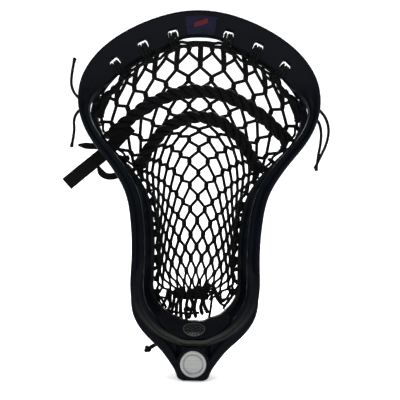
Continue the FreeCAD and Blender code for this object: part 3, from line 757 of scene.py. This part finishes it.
# Each cord along the scoop: how far it lies from the edge when tight and how much further where it is
# loose, the size and start of its sway, and its slack between the holes, in millimetres and radians
TOP_CORDS = ((0.9, 2.6, 0.4, 0.0, 0.0), (4.3, 2.2, 0.6, 1.3, 2.2), (2.5, 2.0, 1.5, 2.4, 0.0))
LASHINGS = ((-2.7, -0.5), (0.0, 0.3), (2.6, 0.1))   # each turn's place along the lip, and its lean


class LACROSSE_OT_top_string(bpy.types.Operator):
    """Three cords along the scoop's rear edge, lashed and knotted through its six holes"""
    bl_idname = "lacrosse.top_string"
    bl_label = "Top string"

    def execute(self, context):
        radius = context.scene.lacrosse_strings.top_cord / MM / 2
        parts = []
        far = np.abs(LIP[:, 0])
        middle = 1 - ramp(far, 13.0, 21.0)
        outside = hump(far, (80.0, 85.0), (93.0, 97.5))
        edge_x = strung_edge()[:, 0]
        gap = hump(edge_x, (33.0, 37.0), (45.0, 49.0)) + hump(edge_x, (55.0, 59.0), (65.0, 69.0))
        for tight, loose, sway, start, slack in TOP_CORDS:
            drop = tight + loose * middle + (loose + 0.6) * outside + slack * gap
            line = strung_edge(drop, 0.8)[:150:5]
            line[:, 2] += sway * np.sin(np.linspace(0, 17, len(line)) + start)
            full = np.concatenate([(line * [-1, 1, 1])[:0:-1], line])
            parts.append(tube(full, 220, radius))
        for x in [side * x for x in HOLE_PLACES for side in (1, -1)]:
            width = scoop_width_at(x)
            reach = (width - HOLE_INSET) / 2 + 1.5
            for step, lean in LASHINGS:
                point, along, out, lip_way = scoop_place(x, (width + HOLE_INSET) / 2 + 0.9, -SCOOP_WALL / 2)
                middle = point + lip_way * step
                half = along * reach + lip_way * lean
                line = loop_round(middle, half, out * (SCOOP_WALL / 2 + radius + 0.1))
                parts.append(closed_tube(line, radius * 0.92))
            point = scoop_place(x, width + 2.3, 1.0)[0]
            parts.append(closed_tube(knot_line(point, 3.0, x), radius))
        piece = make_piece("top_string_lashed", parts, "braided_cord")
        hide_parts("top_string")
        return {"FINISHED"}


SIDE_KNOTS = ((178.0, 2.6), (141.0, 2.8), (128.0, 2.4), (112.0, 2.4))   # height and size


def band_line(place, i, radius):
    """A band's closed line round the back rail, at a place of the strung edge with its index."""
    share = float(ramp(LIP[i, 2], EDGE_LOW, EDGE_HIGH))
    across = INWARD[i]
    middle = place + across * -2.8 + np.array([0.0, 2.0, 0.0])
    lip_way = np.array([across[2], 0.0, -across[0]])
    through = np.array([0.0, 2.6 + radius + 0.2 + 0.6 * share, 0.0])
    return loop_round(middle, across * (2.8 + radius + 0.25), through + lip_way * 0.8)


def tie_route(k, v, side):
    """Points of one tie from the rail to the mesh's edge and back, its lean a sine of its number k."""
    z = NET_TOP - (NET_TOP - NET_BOTTOM) * v
    lean = 1.6 * math.sin(2.3 * k + side)
    x, y = side_at(np.array([z + lean, z, z - lean]), np.array(0.0), -0.5)
    inner = net_surface(0.985 - 0.02 * (k % 3), v)
    start = np.array([x[0] + 0.6, y[0], z + lean])
    middle = (start + inner) / 2 + [0.0, -1.2, -0.8 * lean]
    return [start, middle, inner + [0.0, 0.6, 0.0], middle + [0.0, 1.6, -1.6], start - [0, 0, 2.4]]


class LACROSSE_OT_sidewall_strings(bpy.types.Operator):
    """A cord up each side between the mesh and the back rail, with bands, ties and knots"""
    bl_idname = "lacrosse.sidewall_strings"
    bl_label = "Sidewall strings"

    def execute(self, context):
        radius = context.scene.lacrosse_strings.tail_cord / MM / 2
        heights = np.arange(TIE_TOP - TIE_SPACING, TIE_BOTTOM, -TIE_SPACING)
        near_x, near_y = side_at(heights, 1.6)
        far_x, far_y = side_at(heights - TIE_SPACING / 2, NET_GAP + 1.2, -1.0)
        near = np.stack([near_x, near_y, heights], -1)
        far = np.stack([far_x, far_y, heights - TIE_SPACING / 2], -1)
        zigzag = np.stack([near, far], 1).reshape(-1, 3)[:-1]
        edge = strung_edge()
        for side, name in ((1, "right"), (-1, "left")):
            flip = np.array([side, 1, 1])
            parts = [tube(zigzag, 200, radius, flip=flip)]
            for k, z in enumerate(heights[::2]):
                i = np.abs(edge[:, 2] - z).argmin()
                parts.append(closed_tube(band_line(edge[i], i, radius) * flip, radius * 0.9))
                knot = knot_line(edge[i] + INWARD[i] * 3.0, 2.0 + 0.4 * (k % 2), k * 1.1 + side)
                parts.append(closed_tube(knot * flip, radius * 0.7))
            for k, v in enumerate(np.arange(0.07, 0.95, 0.052)):
                parts.append(tube(tie_route(k, v, side), 26, radius * 0.85, flip=flip))
            for z, size in SIDE_KNOTS:
                x, y = side_at(z - 3 * side, NET_GAP - 0.4, -2.4)
                spot = np.array([float(x), float(y), z - 3 * side])
                parts.append(closed_tube(knot_line(spot, size, z) * flip, radius * 0.85))
            piece = make_piece("sidewall_lacing_" + name, parts, "braided_cord")
            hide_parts("sidewall_string_" + name)
        return {"FINISHED"}


# ---- the shooting laces ----

# Each lace: how far down the pocket it crosses, how much further its ends fall, and its twist's start
LACES = (("upper", 0.154, 0.042, 0.4), ("lower", 0.222, 0.114, 1.9))
LACE_REACH = 0.985          # of the way to the sides
LACE_RISE = 4.4             # from the pocket's surface to the lace's middle


def twisted(line, facing, lobes, radius, pitch, start):
    """Strands that wind round a line: each lies at its radius from the line, turning once a pitch."""
    tangent = directions(line)
    up = square_to(tangent, facing)
    side = np.cross(up, tangent)
    turn = lengths_along(line) / pitch * 2 * math.pi + start
    strands = []
    for k in range(lobes):
        angle = (turn + 2 * math.pi * k / lobes)[:, None]
        strands.append(line + radius * (side * np.cos(angle) + up * np.sin(angle)))
    return strands


class LACROSSE_OT_shooting_strings(bpy.types.Operator):
    """Two twisted laces across the pocket, the lower one with the steeper fall"""
    bl_idname = "lacrosse.shooting_strings"
    bl_label = "Shooting strings"

    def execute(self, context):
        sizes = context.scene.lacrosse_strings
        yarn = sizes.lace_yarn / MM / 2
        pitch = sizes.lace_pitch / MM
        for name, at, bow, start in LACES:
            u = np.linspace(-LACE_REACH, LACE_REACH, 60)
            v = at + bow * u * u
            normal = net_normal(u, v)
            line = net_surface(u, v) + normal * LACE_RISE
            line, facing = smooth_line(line, 260), smooth_line(normal, 260)
            ends = ramp(np.abs(np.linspace(-1, 1, 260)), 0.78, 1.0)[:, None]
            swell = 1 + 0.10 * np.sin(np.linspace(0, 31, 260) + start)[:, None] + 0.18 * ends
            parts = []
            section = (ring_section(yarn, 12) * [1.05, 1.0])[None] * swell[:, :, None]
            for strand in twisted(line, facing, 3, yarn * 1.1, pitch, start):
                parts.append(carry(strand, section, unit(strand - line)[None]))
            piece = make_piece(name + "_lace_twist", parts, "woven_lace")
            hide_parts(name + "_shooting_string")
        return {"FINISHED"}


# ---- the gathered bottom ----

GATHER_ROUTES = (
    [(-43.5, 21, 55), (-38, 22, 50.5), (-28, 24, 48), (-15, 25, 45), (-4, 24.5, 44.5), (4, 24, 45.5)],
    [(14, 29, 70), (17, 26.5, 63), (20, 25.5, 57), (25, 24, 52.5), (29.5, 24, 56), (34, 25, 64),
     (40.5, 23, 74)],
    [(16, 28, 69), (19.5, 26, 62), (23, 24.6, 55.5), (28, 24.6, 59), (32, 25, 67)],
    [(11, 27, 66), (14.5, 26, 60), (14, 24.5, 50), (12.5, 21, 41), (13, 20, 38.5)],
    [(-46, 21, 66), (-40, 23, 58), (-31, 24, 50), (-20, 23, 43), (-12, 21.5, 40)],
    [(-41, 21, 58), (-35, 22, 51), (-26, 22.5, 44), (-17, 21.5, 39.5)],
)
# Each knot: place, size and turn
GATHER_KNOTS = (
    ((-15, 25.0, 61), 2.8, 0.3), ((-3, 25, 63), 2.8, 1.4), ((8, 25.5, 64), 2.8, 2.2),
    ((-7, 24.0, 49), 2.6, 0.9), ((12, 26.5, 68), 3.0, 2.9), ((-22, 23.5, 45), 3.0, 0.1),
    ((-33, 23.0, 56), 2.6, 1.9),
)
GATHER_SEED = 7
GATHER_LOOPS, GATHER_FIRST, GATHER_APART = 10, -31.0, 4.5   # hanging loops: how many, from where, spacing
GATHER_FACING = (0.2, -1, 0.1)


class LACROSSE_OT_bottom_string(bpy.types.Operator):
    """The cord that gathers the mesh above the ball stop, in loose loops and knots"""
    bl_idname = "lacrosse.bottom_string"
    bl_label = "Bottom string"

    def execute(self, context):
        radius = context.scene.lacrosse_strings.tail_cord / MM / 2
        parts = []
        for route in GATHER_ROUTES:
            parts.append(tube(route, 70, radius, GATHER_FACING))
        draws = np.random.default_rng(GATHER_SEED)
        for k in range(GATHER_LOOPS):
            x = GATHER_FIRST + GATHER_APART * k
            sway = draws.uniform(-1.4, 1.4, (5, 2))
            low = 38.0 + 0.60 * max(0, k - 3) ** 1.5 + draws.uniform(-1.5, 1.5)
            high = 66 + draws.uniform(-3, 4)
            z = np.linspace(high, low, 5)
            across = x * np.linspace(0.80, 1.0, 5) + sway[:, 0]
            hang = np.stack([across, 26.0 - np.linspace(0, 4.5, 5) + sway[:, 1] * 0.5, z], -1)
            back = hang[::-1] + [1.0, 1.4, 0.8]
            parts.append(tube(np.concatenate([hang, back]), 60, radius * 0.92, GATHER_FACING))
        for k in range(4):
            start = np.array([-43.5 + 0.6 * k, 21.5 + 0.8 * k, 78.0 - 5.2 * k])
            end = (20.0 + 1.5 * k, 1.6, -36 + 3.2 * k)
            steps = [(0, 0, 0), (4.0, 2.0, -9), (9.5, 3.2, -19), (15.5, 3.0, -29), end]
            parts.append(tube(start + np.array(steps), 60, radius, GATHER_FACING))
        for spot, size, turned in GATHER_KNOTS:
            parts.append(closed_tube(knot_line(spot, size, turned), radius * 0.8))
        piece = make_piece("bottom_gather", parts, "braided_cord")
        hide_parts("bottom_string")
        return {"FINISHED"}


# ---- free ends ----

# Each round end's control points in metres, and its far end
ROUND_TAILS = {
    "top_tail_left_up": ([
        (-0.0965, 0.0132, 0.2245), (-0.1025, 0.0132, 0.227), (-0.1085, 0.0135, 0.2345),
        (-0.110, 0.0135, 0.245), (-0.107, 0.0135, 0.261)], "bare"),
    "top_tail_left_down": ([
        (-0.0965, 0.0136, 0.2205), (-0.1025, 0.0136, 0.218), (-0.107, 0.014, 0.210),
        (-0.1058, 0.0145, 0.1995), (-0.1082, 0.0145, 0.187)], "bare"),
    "top_tail_right_long": ([
        (0.0965, 0.0132, 0.226), (0.1025, 0.0132, 0.2225), (0.109, 0.0135, 0.214), (0.111, 0.0135, 0.2035),
        (0.1086, 0.0135, 0.192), (0.104, 0.0135, 0.1825), (0.0999, 0.0135, 0.173)], "bare"),
    "top_tail_right_short": ([
        (0.0955, 0.0138, 0.218), (0.101, 0.0138, 0.2145), (0.1046, 0.0145, 0.206), (0.1052, 0.017, 0.195),
        (0.1034, 0.018, 0.1845), (0.102, 0.018, 0.172)], "bare"),
    "bottom_tail": ([
        (-0.012, 0.0208, 0.038), (-0.017, 0.0215, 0.031), (-0.024, 0.0215, 0.025), (-0.0315, 0.0205, 0.0185),
        (-0.0400, 0.019, 0.0140)], "knot"),
}
TAIL_FACING = (0.05, -1, 0.1)
# The collar at a free end: its rear and front from the tip, in millimetres, and its radii over the cord's
COLLARS = {
    "knot": (-10.5, 0.5, [0.6, 1.3, 1.45, 1.4, 1.5, 1.55, 1.5, 1.4, 1.3, 0.5]),
    "bare": (-3.6, 1.2, [0.3, 0.95, 1.12, 1.1, 1.16, 1.14, 1.2, 1.25, 1.22, 1.3, 1.34, 1.25, 0.9, 0.3]),
}
# Each flat end: width, control points, and how far its tip narrows
LACE_TAILS = {
    "lace_tail_wide": (0.0120, [
        (-0.0605, 0.0285, 0.2085), (-0.069, 0.0275, 0.1995), (-0.0755, 0.0255, 0.1905),
        (-0.082, 0.022, 0.1825), (-0.091, 0.0185, 0.1735), (-0.101, 0.017, 0.1645),
        (-0.1118, 0.0155, 0.1545)], 0.0),
    "lace_tail_pointed": (0.0056, [
        (-0.070, 0.0245, 0.1885), (-0.078, 0.022, 0.1885), (-0.087, 0.019, 0.1882), (-0.095, 0.017, 0.1878),
        (-0.103, 0.016, 0.1885)], 1.0),
    "lace_tail_hooked": (0.0060, [
        (-0.060, 0.028, 0.173), (-0.066, 0.024, 0.167), (-0.072, 0.021, 0.1628), (-0.079, 0.020, 0.1622),
        (-0.085, 0.0215, 0.166), (-0.087, 0.0215, 0.172)], 1.0),
}


def spline_line(points):
    """Points of the NURBS spline of order 3 that has these control points and ends on the first and the
    last, as Blender reads it for a curve with no bevel; in metres."""
    curve = bpy.data.curves.new("route", "CURVE")
    curve.dimensions = "3D"
    spline = curve.splines.new("NURBS")
    spline.points.add(len(points) - 1)
    spline.points.foreach_set("co", np.insert(np.array(points), 3, 1.0, axis=1).ravel())
    spline.order_u = 3
    spline.use_endpoint_u = True
    spline.resolution_u = 16
    holder = bpy.data.objects.new("route", curve)
    read = bpy.data.meshes.new_from_object(holder)
    places = vertex_places(read)
    bpy.data.objects.remove(holder)
    bpy.data.curves.remove(curve)
    bpy.data.meshes.remove(read)
    return places


def flat_section(width, thick, around=20):
    """A flat lace's section: a squared-off oval, |cos| to 0.35 across and |sin| to 0.8 through."""
    turn = np.linspace(0, 2 * math.pi, around, endpoint=False)
    across, through = squared_off(np.cos(turn), 0.35), squared_off(np.sin(turn), 0.8)
    return np.stack([width / 2 * across, -thick / 2 * through], -1)


class LACROSSE_OT_round_tails(bpy.types.Operator):
    """The round free ends of the top and bottom strings"""
    bl_idname = "lacrosse.round_tails"
    bl_label = "String ends"

    def execute(self, context):
        diameter = context.scene.lacrosse_strings.tail_cord
        radius = diameter / MM / 2
        for node, (route, far_end) in ROUND_TAILS.items():
            path = spline_line(route)
            line = path / MM
            piece = make_piece(node + "_cord", [carry(line, ring_section(radius, 12), TAIL_FACING)],
                               "braided_cord")
            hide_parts(node)
            tip = line[-1]
            rear, front, swell = COLLARS[far_end]
            reach = np.linspace(rear, front, len(swell))[:, None]
            section = ring_section(1.0, 12)[None] * (radius * np.array(swell))[:, None, None]
            end = [carry(tip + unit(tip - line[-6]) * reach, section, TAIL_FACING)]
            if far_end == "knot":
                end.insert(0, closed_tube(knot_line(tip, 2.3, 0.7, 90), radius, 10))
            tip_piece = make_piece(node + "_tip", end, "braided_cord")
        return {"FINISHED"}


class LACROSSE_OT_lace_tails(bpy.types.Operator):
    """The flat ends of the shooting laces, out through the left sidewall's openings"""
    bl_idname = "lacrosse.lace_tails"
    bl_label = "Lace ends"

    def execute(self, context):
        for node, (width, route, taper) in LACE_TAILS.items():
            path = spline_line(route)
            line = path / MM
            share = (lengths_along(line) / lengths_along(line)[-1])[:, None, None]
            section = flat_section(width / MM, LACE_THICK)[None] * np.ones((len(line), 1, 1))
            section[..., 0] *= 1 - taper * 0.75 * ramp(share[..., 0], 0.80, 1.05)
            cup = (section[..., 0] / (width / MM / 2)) ** 2 * (0.09 * width / MM)
            section[..., 1] += cup * (1 - 0.5 * share[..., 0])
            piece = make_piece(node + "_lace", [carry(line, section, (0.1, -1, 0.15))],
                               "woven_lace")
            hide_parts(node)
        return {"FINISHED"}


# ---- the ball stop ----

# The pad's pressed dimples: share of its length, and place across it from -1 to 1
DIMPLES = ((0.12, 0.1), (0.26, -0.2), (0.36, 0.25), (0.64, 0.25), (0.74, -0.2), (0.88, 0.1))
# The silver disc's section, from its middle to its rim and back: radius and height
DISC_PROFILE = (
    (0.0, 1.05), (2.5, 1.05), (5.0, 1.05), (6.9, 1.05), (7.25, 0.6), (7.6, 0.6), (7.9, 1.3), (8.2, 1.52),
    (8.6, 1.6), (9.3, 1.6), (9.75, 1.55), (10.0, 1.4), (10.15, 1.15), (10.2, 0.8), (10.2, 0.0),
    (9.0, 0.0), (0.0, 0.0))


def stop_line(count=121, top=38.0):
    """The ball stop's outline from left to right, evenly spaced, with inward directions."""
    keep = (LIP[:, 2] < top) & (LIP[:, 0] < HALF_WAIST)
    line, inward = LIP[keep], INWARD[keep]
    line = np.concatenate([line * [-1, 1, 1], line[-2::-1]])
    inward = np.concatenate([inward * [-1, 1, 1], inward[-2::-1]])
    at = np.linspace(0, len(line) - 1, count)
    pick = np.arange(len(line))
    return (np.stack([np.interp(at, pick, line[:, k]) for k in range(3)], -1),
            unit(np.stack([np.interp(at, pick, inward[:, k]) for k in range(3)], -1)))


def rail_width(x, z):
    """Width of the face rail: 7.6 mm up the sides, 5.8 mm across the middle of the ball stop and
    10.6 mm along the lower sides, by smooth steps."""
    low = 1 - ramp(z, FLARE_HEIGHT - 91.0, FLARE_HEIGHT - 6.0)
    side = ramp(np.abs(x), 12.0, HALF_WAIST - 8.4)
    return 7.6 * (1 - low) + (5.8 + 4.8 * side) * low


def pad_ends(x, z):
    """Insets and depths of the pad's back face at its front and rear edges, at a place."""
    top = face_y(z) + RAIL_DEPTH + 0.6
    low = face_y(z) + 1.6
    high = back_y(z) - BACK_RAIL_DEPTH - 1.6
    full = back_y(z) - BACK_RAIL_DEPTH - 0.6 - top
    near = rail_width(x, z) + 0.5
    far = WALL_FACE + 0.4 + (slant(z) - 0.4) * (high - top) / full + 0.5
    return near, low, far, high


class LACROSSE_OT_ball_stop_pad(bpy.types.Operator):
    """The foam strip on the ball stop: crowned, pinched at its two ends, with six pressed dimples"""
    bl_idname = "lacrosse.ball_stop_pad"
    bl_label = "Ball-stop pad"

    def execute(self, context):
        line, inward = stop_line()
        near, low, far, high = pad_ends(line[:, 0], line[:, 2])
        turn = np.linspace(0, 2 * math.pi, 48, endpoint=False)
        s, n = squared_off(np.cos(turn), 0.32), squared_off(np.sin(turn), 0.6)
        along = (s[None] + 1) / 2
        rise = (0.8 + 2.4 * along) * (n[None] + 1) / 2
        crown = np.where(n[None] > 0, 0.35 * (1 - s[None] ** 2) * n[None], 0.0)
        far_along = lengths_along(line)
        pressed = np.zeros((len(line), len(turn)))
        for share, across in DIMPLES:
            off = far_along[:, None] - share * far_along[-1]
            away = (off / 1.5) ** 2 + ((s[None] - across) / 0.14) ** 2
            pressed -= np.where(n[None] > 0, 0.9 * np.exp(-away), 0.0)
        inset = near[:, None] + (far - near)[:, None] * along + rise + crown + pressed
        depth = low[:, None] + (high - low)[:, None] * along
        pinch = ramp(np.minimum(np.arange(len(line)), np.arange(len(line))[::-1]) / 3.0, -0.4, 1.0)
        middle = (near + 1.6)[:, None] + (far - near)[:, None] / 2
        inset = middle + (inset - middle) * np.maximum(pinch, 0.3)[:, None]
        points = line[:, None] + inward[:, None] * inset[..., None]
        points[..., 1] = depth
        index = np.arange(points.shape[0] * points.shape[1]).reshape(points.shape[:2])
        quads = grid_faces(*points.shape[:2], wrap_columns=True)
        caps = [list(index[0]), list(index[-1][::-1])]
        marks = np.stack(np.broadcast_arrays(far_along[:, None], along), -1).reshape(-1, 2)
        piece = make_piece("ball_stop_foam", [(points.reshape(-1, 3), quads, caps, marks)],
                           "stop_foam_skin")
        face_outwards(piece)
        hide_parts("ball_stop_pad")
        return {"FINISHED"}


def face_outwards(piece):
    """Turn a closed mesh's faces out if its signed volume, a sum over its triangles, is negative."""
    mesh = piece.data
    mesh.calc_loop_triangles()
    corner = np.zeros(len(mesh.loop_triangles) * 3, np.int32)
    mesh.loop_triangles.foreach_get("vertices", corner)
    a, b, c = vertex_places(mesh)[corner.reshape(-1, 3)].transpose(1, 0, 2)
    if (a * np.cross(b, c)).sum() < 0:
        mesh.flip_normals()


def merge_close(piece):
    """Join the vertices that lie on each other, such as those of a pole."""
    work = bmesh.new()
    work.from_mesh(piece.data)
    bmesh.ops.remove_doubles(work, verts=work.verts, dist=1e-6)
    work.to_mesh(piece.data)
    work.free()


class LACROSSE_OT_badge(bpy.types.Operator):
    """A round rubber badge laid on the slanting foam, with a wavy lattice, a row of dots and a rim"""
    bl_idname = "lacrosse.badge"
    bl_label = "Badge"

    @staticmethod
    def stop_bend(x):
        """How far the ball stop's ellipse has risen at x from the middle."""
        return STOP_RISE * (1 - np.sqrt(1 - (x / HALF_WAIST) ** 2))

    def execute(self, context):
        near, low, far, high = (float(a) for a in pad_ends(0.0, np.array(STOP_HEIGHT)))
        front = np.array([0.0, low + 0.4, STOP_HEIGHT + near + 0.8])
        rear = np.array([0.0, high - 0.9, STOP_HEIGHT + far + 3.2])
        run = unit(rear - front)
        out = np.array([0.0, -run[2], run[1]])
        middle = (front + rear) / 2 - run * 0.9
        share = np.concatenate([np.linspace(0, 1, 64) ** 0.8, [1.0, 1.0]])
        turn = np.linspace(0, 2 * math.pi, 160, endpoint=False)
        x = BADGE_RADIUS * share[:, None] * np.cos(turn)[None]
        s = BADGE_RADIUS * share[:, None] * np.sin(turn)[None]
        rows = np.abs(np.sin((s + 0.75 * np.sin(x * 1.45)) * math.pi / BADGE_ROW))
        wave = ramp(rows, 0.10, 0.34)
        posts = ramp(np.abs(np.sin(x * math.pi / 3.3)), 0.95, 0.995)
        lattice = np.maximum(1 - wave, posts * 0.6)
        dots = np.zeros_like(x)
        for k in range(-2, 3):
            dots = np.maximum(dots, 1 - ramp(np.hypot(x - k * 2.5, s + 6.3 - 0.25 * k * k), 0.55, 0.9))
        inner = 1 - ramp(share, 0.86, 0.91)[:, None]
        relief = np.clip(np.maximum(np.where(s > -4.4, lattice, 1 - dots) * inner, 1 - inner), 0, 1)
        edge = 1 - ramp(share, 0.93, 1.0)[:, None]
        lift = 0.45 + 0.45 * relief * np.maximum(edge, 0.35)
        lift[-2:] = -0.05
        points = middle + x[..., None] * [1.0, 0, 0] + s[..., None] * run + (lift + 0.12)[..., None] * out
        points[..., 2] += self.stop_bend(x)
        quads = grid_faces(*x.shape, wrap_columns=True)
        index = np.arange(x.size).reshape(x.shape)
        marks = np.stack([x.ravel(), relief.ravel()], -1)
        piece = make_piece("lattice_badge", [(points.reshape(-1, 3), quads, [list(index[-1])], marks)],
                           "badge_rubber_skin")
        merge_close(piece)
        # relief: the lattice's height, which the badge's material turns into painted shade and a painted
        # highlight.
        attribute = piece.data.attributes.new("relief", "FLOAT", "POINT")
        place = vertex_places(piece.data) / MM
        height = (place - middle) @ out - self.stop_bend(place[:, 0]) * out[2]
        attribute.data.foreach_set("value", np.clip((height - 0.57) / 0.45, 0, 1).astype(np.float32))
        face_outwards(piece)
        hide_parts("ball_stop_badge")
        return {"FINISHED"}


class LACROSSE_OT_medallion(bpy.types.Operator):
    """The silver disc on the throat: a turned profile with a raised rim and a fine groove inside it"""
    bl_idname = "lacrosse.medallion"
    bl_label = "Medallion"

    def execute(self, context):
        fine = respaced(np.insert(np.array(DISC_PROFILE), 2, 0.0, axis=1), 90)
        turn = np.linspace(0, 2 * math.pi, 128, endpoint=False)
        r, lift = fine[:, :1], fine[:, 1:2]
        base = -THROAT_HALF - 0.8
        points = np.stack(np.broadcast_arrays(
            r * np.cos(turn), base - lift + 0 * turn, DISC_HEIGHT + r * np.sin(turn)), -1)
        quads = grid_faces(*points.shape[:2], wrap_columns=True)
        marks = np.stack(np.broadcast_arrays(r, turn / (2 * math.pi)), -1).reshape(-1, 2)
        piece = make_piece("silver_medallion", [(points.reshape(-1, 3), quads, [], marks)],
                           "brushed_silver")
        merge_close(piece)
        face_outwards(piece)
        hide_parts("throat_medallion")
        return {"FINISHED"}


# ---- floor, light and camera ----

CAMERA_PLACE = (0.0031, -0.327, 0.1136)
CAMERA_ROLL = -1.3          # degrees
CAMERA_SHIFT = 0.0875
WORLD_LIGHT = 0.22          # how bright the white world lights the object; to the camera it is 1
LIGHTS_AIM = (0.0, 0.0, 0.14)
# Name, place and size in metres, power in watts
LIGHTS = (
    ("key", (-0.55, -0.75, 0.75), 0.7, 4.6), ("fill", (0.75, -0.6, 0.45), 0.8, 3.0),
    ("top", (0.0, 0.05, 1.15), 0.9, 14.0), ("back", (0.0, 0.6, 0.95), 0.9, 16.0))


class LACROSSE_OT_stage(bpy.types.Operator):
    """A pale floor that sweeps up behind, soft lights, and the camera close in front"""
    bl_idname = "lacrosse.stage"
    bl_label = "Stage"

    def execute(self, context):
        flat = np.linspace(-1.6, 0.7, 24)
        turn = np.linspace(0, math.pi / 2, 24)[1:]
        wall = np.linspace(0.5, 2.4, 12)[1:]
        y = np.concatenate([flat, 0.7 + 0.5 * np.sin(turn), np.full(len(wall), 1.2)])
        z = np.concatenate([np.zeros(24), 0.5 * (1 - np.cos(turn)), wall]) - 0.0006
        x = np.linspace(-2.2, 2.2, 30)
        points = np.stack(np.broadcast_arrays(x[None], y[:, None], z[:, None]), -1).reshape(-1, 3)
        mesh = bpy.data.meshes.new("floor")
        mesh.from_pydata(points.tolist(), [], grid_faces(len(y), len(x)).tolist())
        mesh.polygons.foreach_set("use_smooth", np.ones(len(mesh.polygons), bool))
        mesh.update()
        mesh.materials.append(finish_named("pale_floor"))
        placed("floor", mesh)
        for name, place, size, power in LIGHTS:
            lamp = bpy.data.lights.new(name, "AREA")
            lamp.size = size
            lamp.energy = power
            light = placed(name, lamp)
            light.location = place
            light.rotation_euler = (Vector(LIGHTS_AIM) - Vector(place)).to_track_quat("-Z", "Y").to_euler()
        world = bpy.data.worlds.new("studio")
        world.use_nodes = True
        nodes, links = world.node_tree.nodes, world.node_tree.links
        nodes["Background"].inputs["Color"].default_value = (1.0, 1.0, 1.0, 1.0)
        seen = nodes.new("ShaderNodeLightPath")
        strength = nodes.new("ShaderNodeMapRange")
        strength.inputs["To Min"].default_value = WORLD_LIGHT
        links.new(seen.outputs["Is Camera Ray"], strength.inputs["Value"])
        links.new(strength.outputs["Result"], nodes["Background"].inputs["Strength"])
        context.scene.world = world
        context.scene.view_settings.view_transform = "Standard"
        camera = bpy.data.cameras.new("camera")
        camera.sensor_width = 36.0
        camera.lens = 36.0
        camera.shift_y = CAMERA_SHIFT
        camera.clip_start = 0.01
        holder = placed("camera", camera)
        holder.location = CAMERA_PLACE
        holder.rotation_euler = (math.radians(90), math.radians(CAMERA_ROLL), 0)
        context.scene.camera = holder
        return {"FINISHED"}


PIECES = (
    LACROSSE_OT_stage, LACROSSE_OT_frame_finish, LACROSSE_OT_round_tails, LACROSSE_OT_lace_tails,
    LACROSSE_OT_mesh_pocket, LACROSSE_OT_top_string, LACROSSE_OT_sidewall_strings,
    LACROSSE_OT_shooting_strings, LACROSSE_OT_bottom_string, LACROSSE_OT_ball_stop_pad,
    LACROSSE_OT_badge, LACROSSE_OT_medallion,
)


class LACROSSE_PT_panel(bpy.types.Panel):
    """Sizes, colours and the pieces, in the 3D view's sidebar"""
    bl_idname = "LACROSSE_PT_panel"
    bl_label = "Lacrosse head"
    bl_space_type = "VIEW_3D"
    bl_region_type = "UI"
    bl_category = "Lacrosse"

    def draw(self, context):
        for group in (context.scene.lacrosse_strings, context.scene.lacrosse_look):
            box = self.layout.box()
            for name in type(group).__annotations__:
                box.prop(group, name)
        for piece in PIECES:
            self.layout.operator(piece.bl_idname)


GROUPS = (LacrosseStrings, LacrosseLook)


def register():
    for one in GROUPS + PIECES + (LACROSSE_PT_panel,):
        bpy.utils.register_class(one)
    bpy.types.Scene.lacrosse_strings = PointerProperty(type=LacrosseStrings)
    bpy.types.Scene.lacrosse_look = PointerProperty(type=LacrosseLook)


def unregister():
    del bpy.types.Scene.lacrosse_look
    del bpy.types.Scene.lacrosse_strings
    for one in (LACROSSE_PT_panel,) + PIECES[::-1] + GROUPS[::-1]:
        bpy.utils.unregister_class(one)


def main():
    register()
    for piece in PIECES:
        group, name = piece.bl_idname.split(".")
        getattr(getattr(bpy.ops, group), name)()


if __name__ == "__main__":
    main()
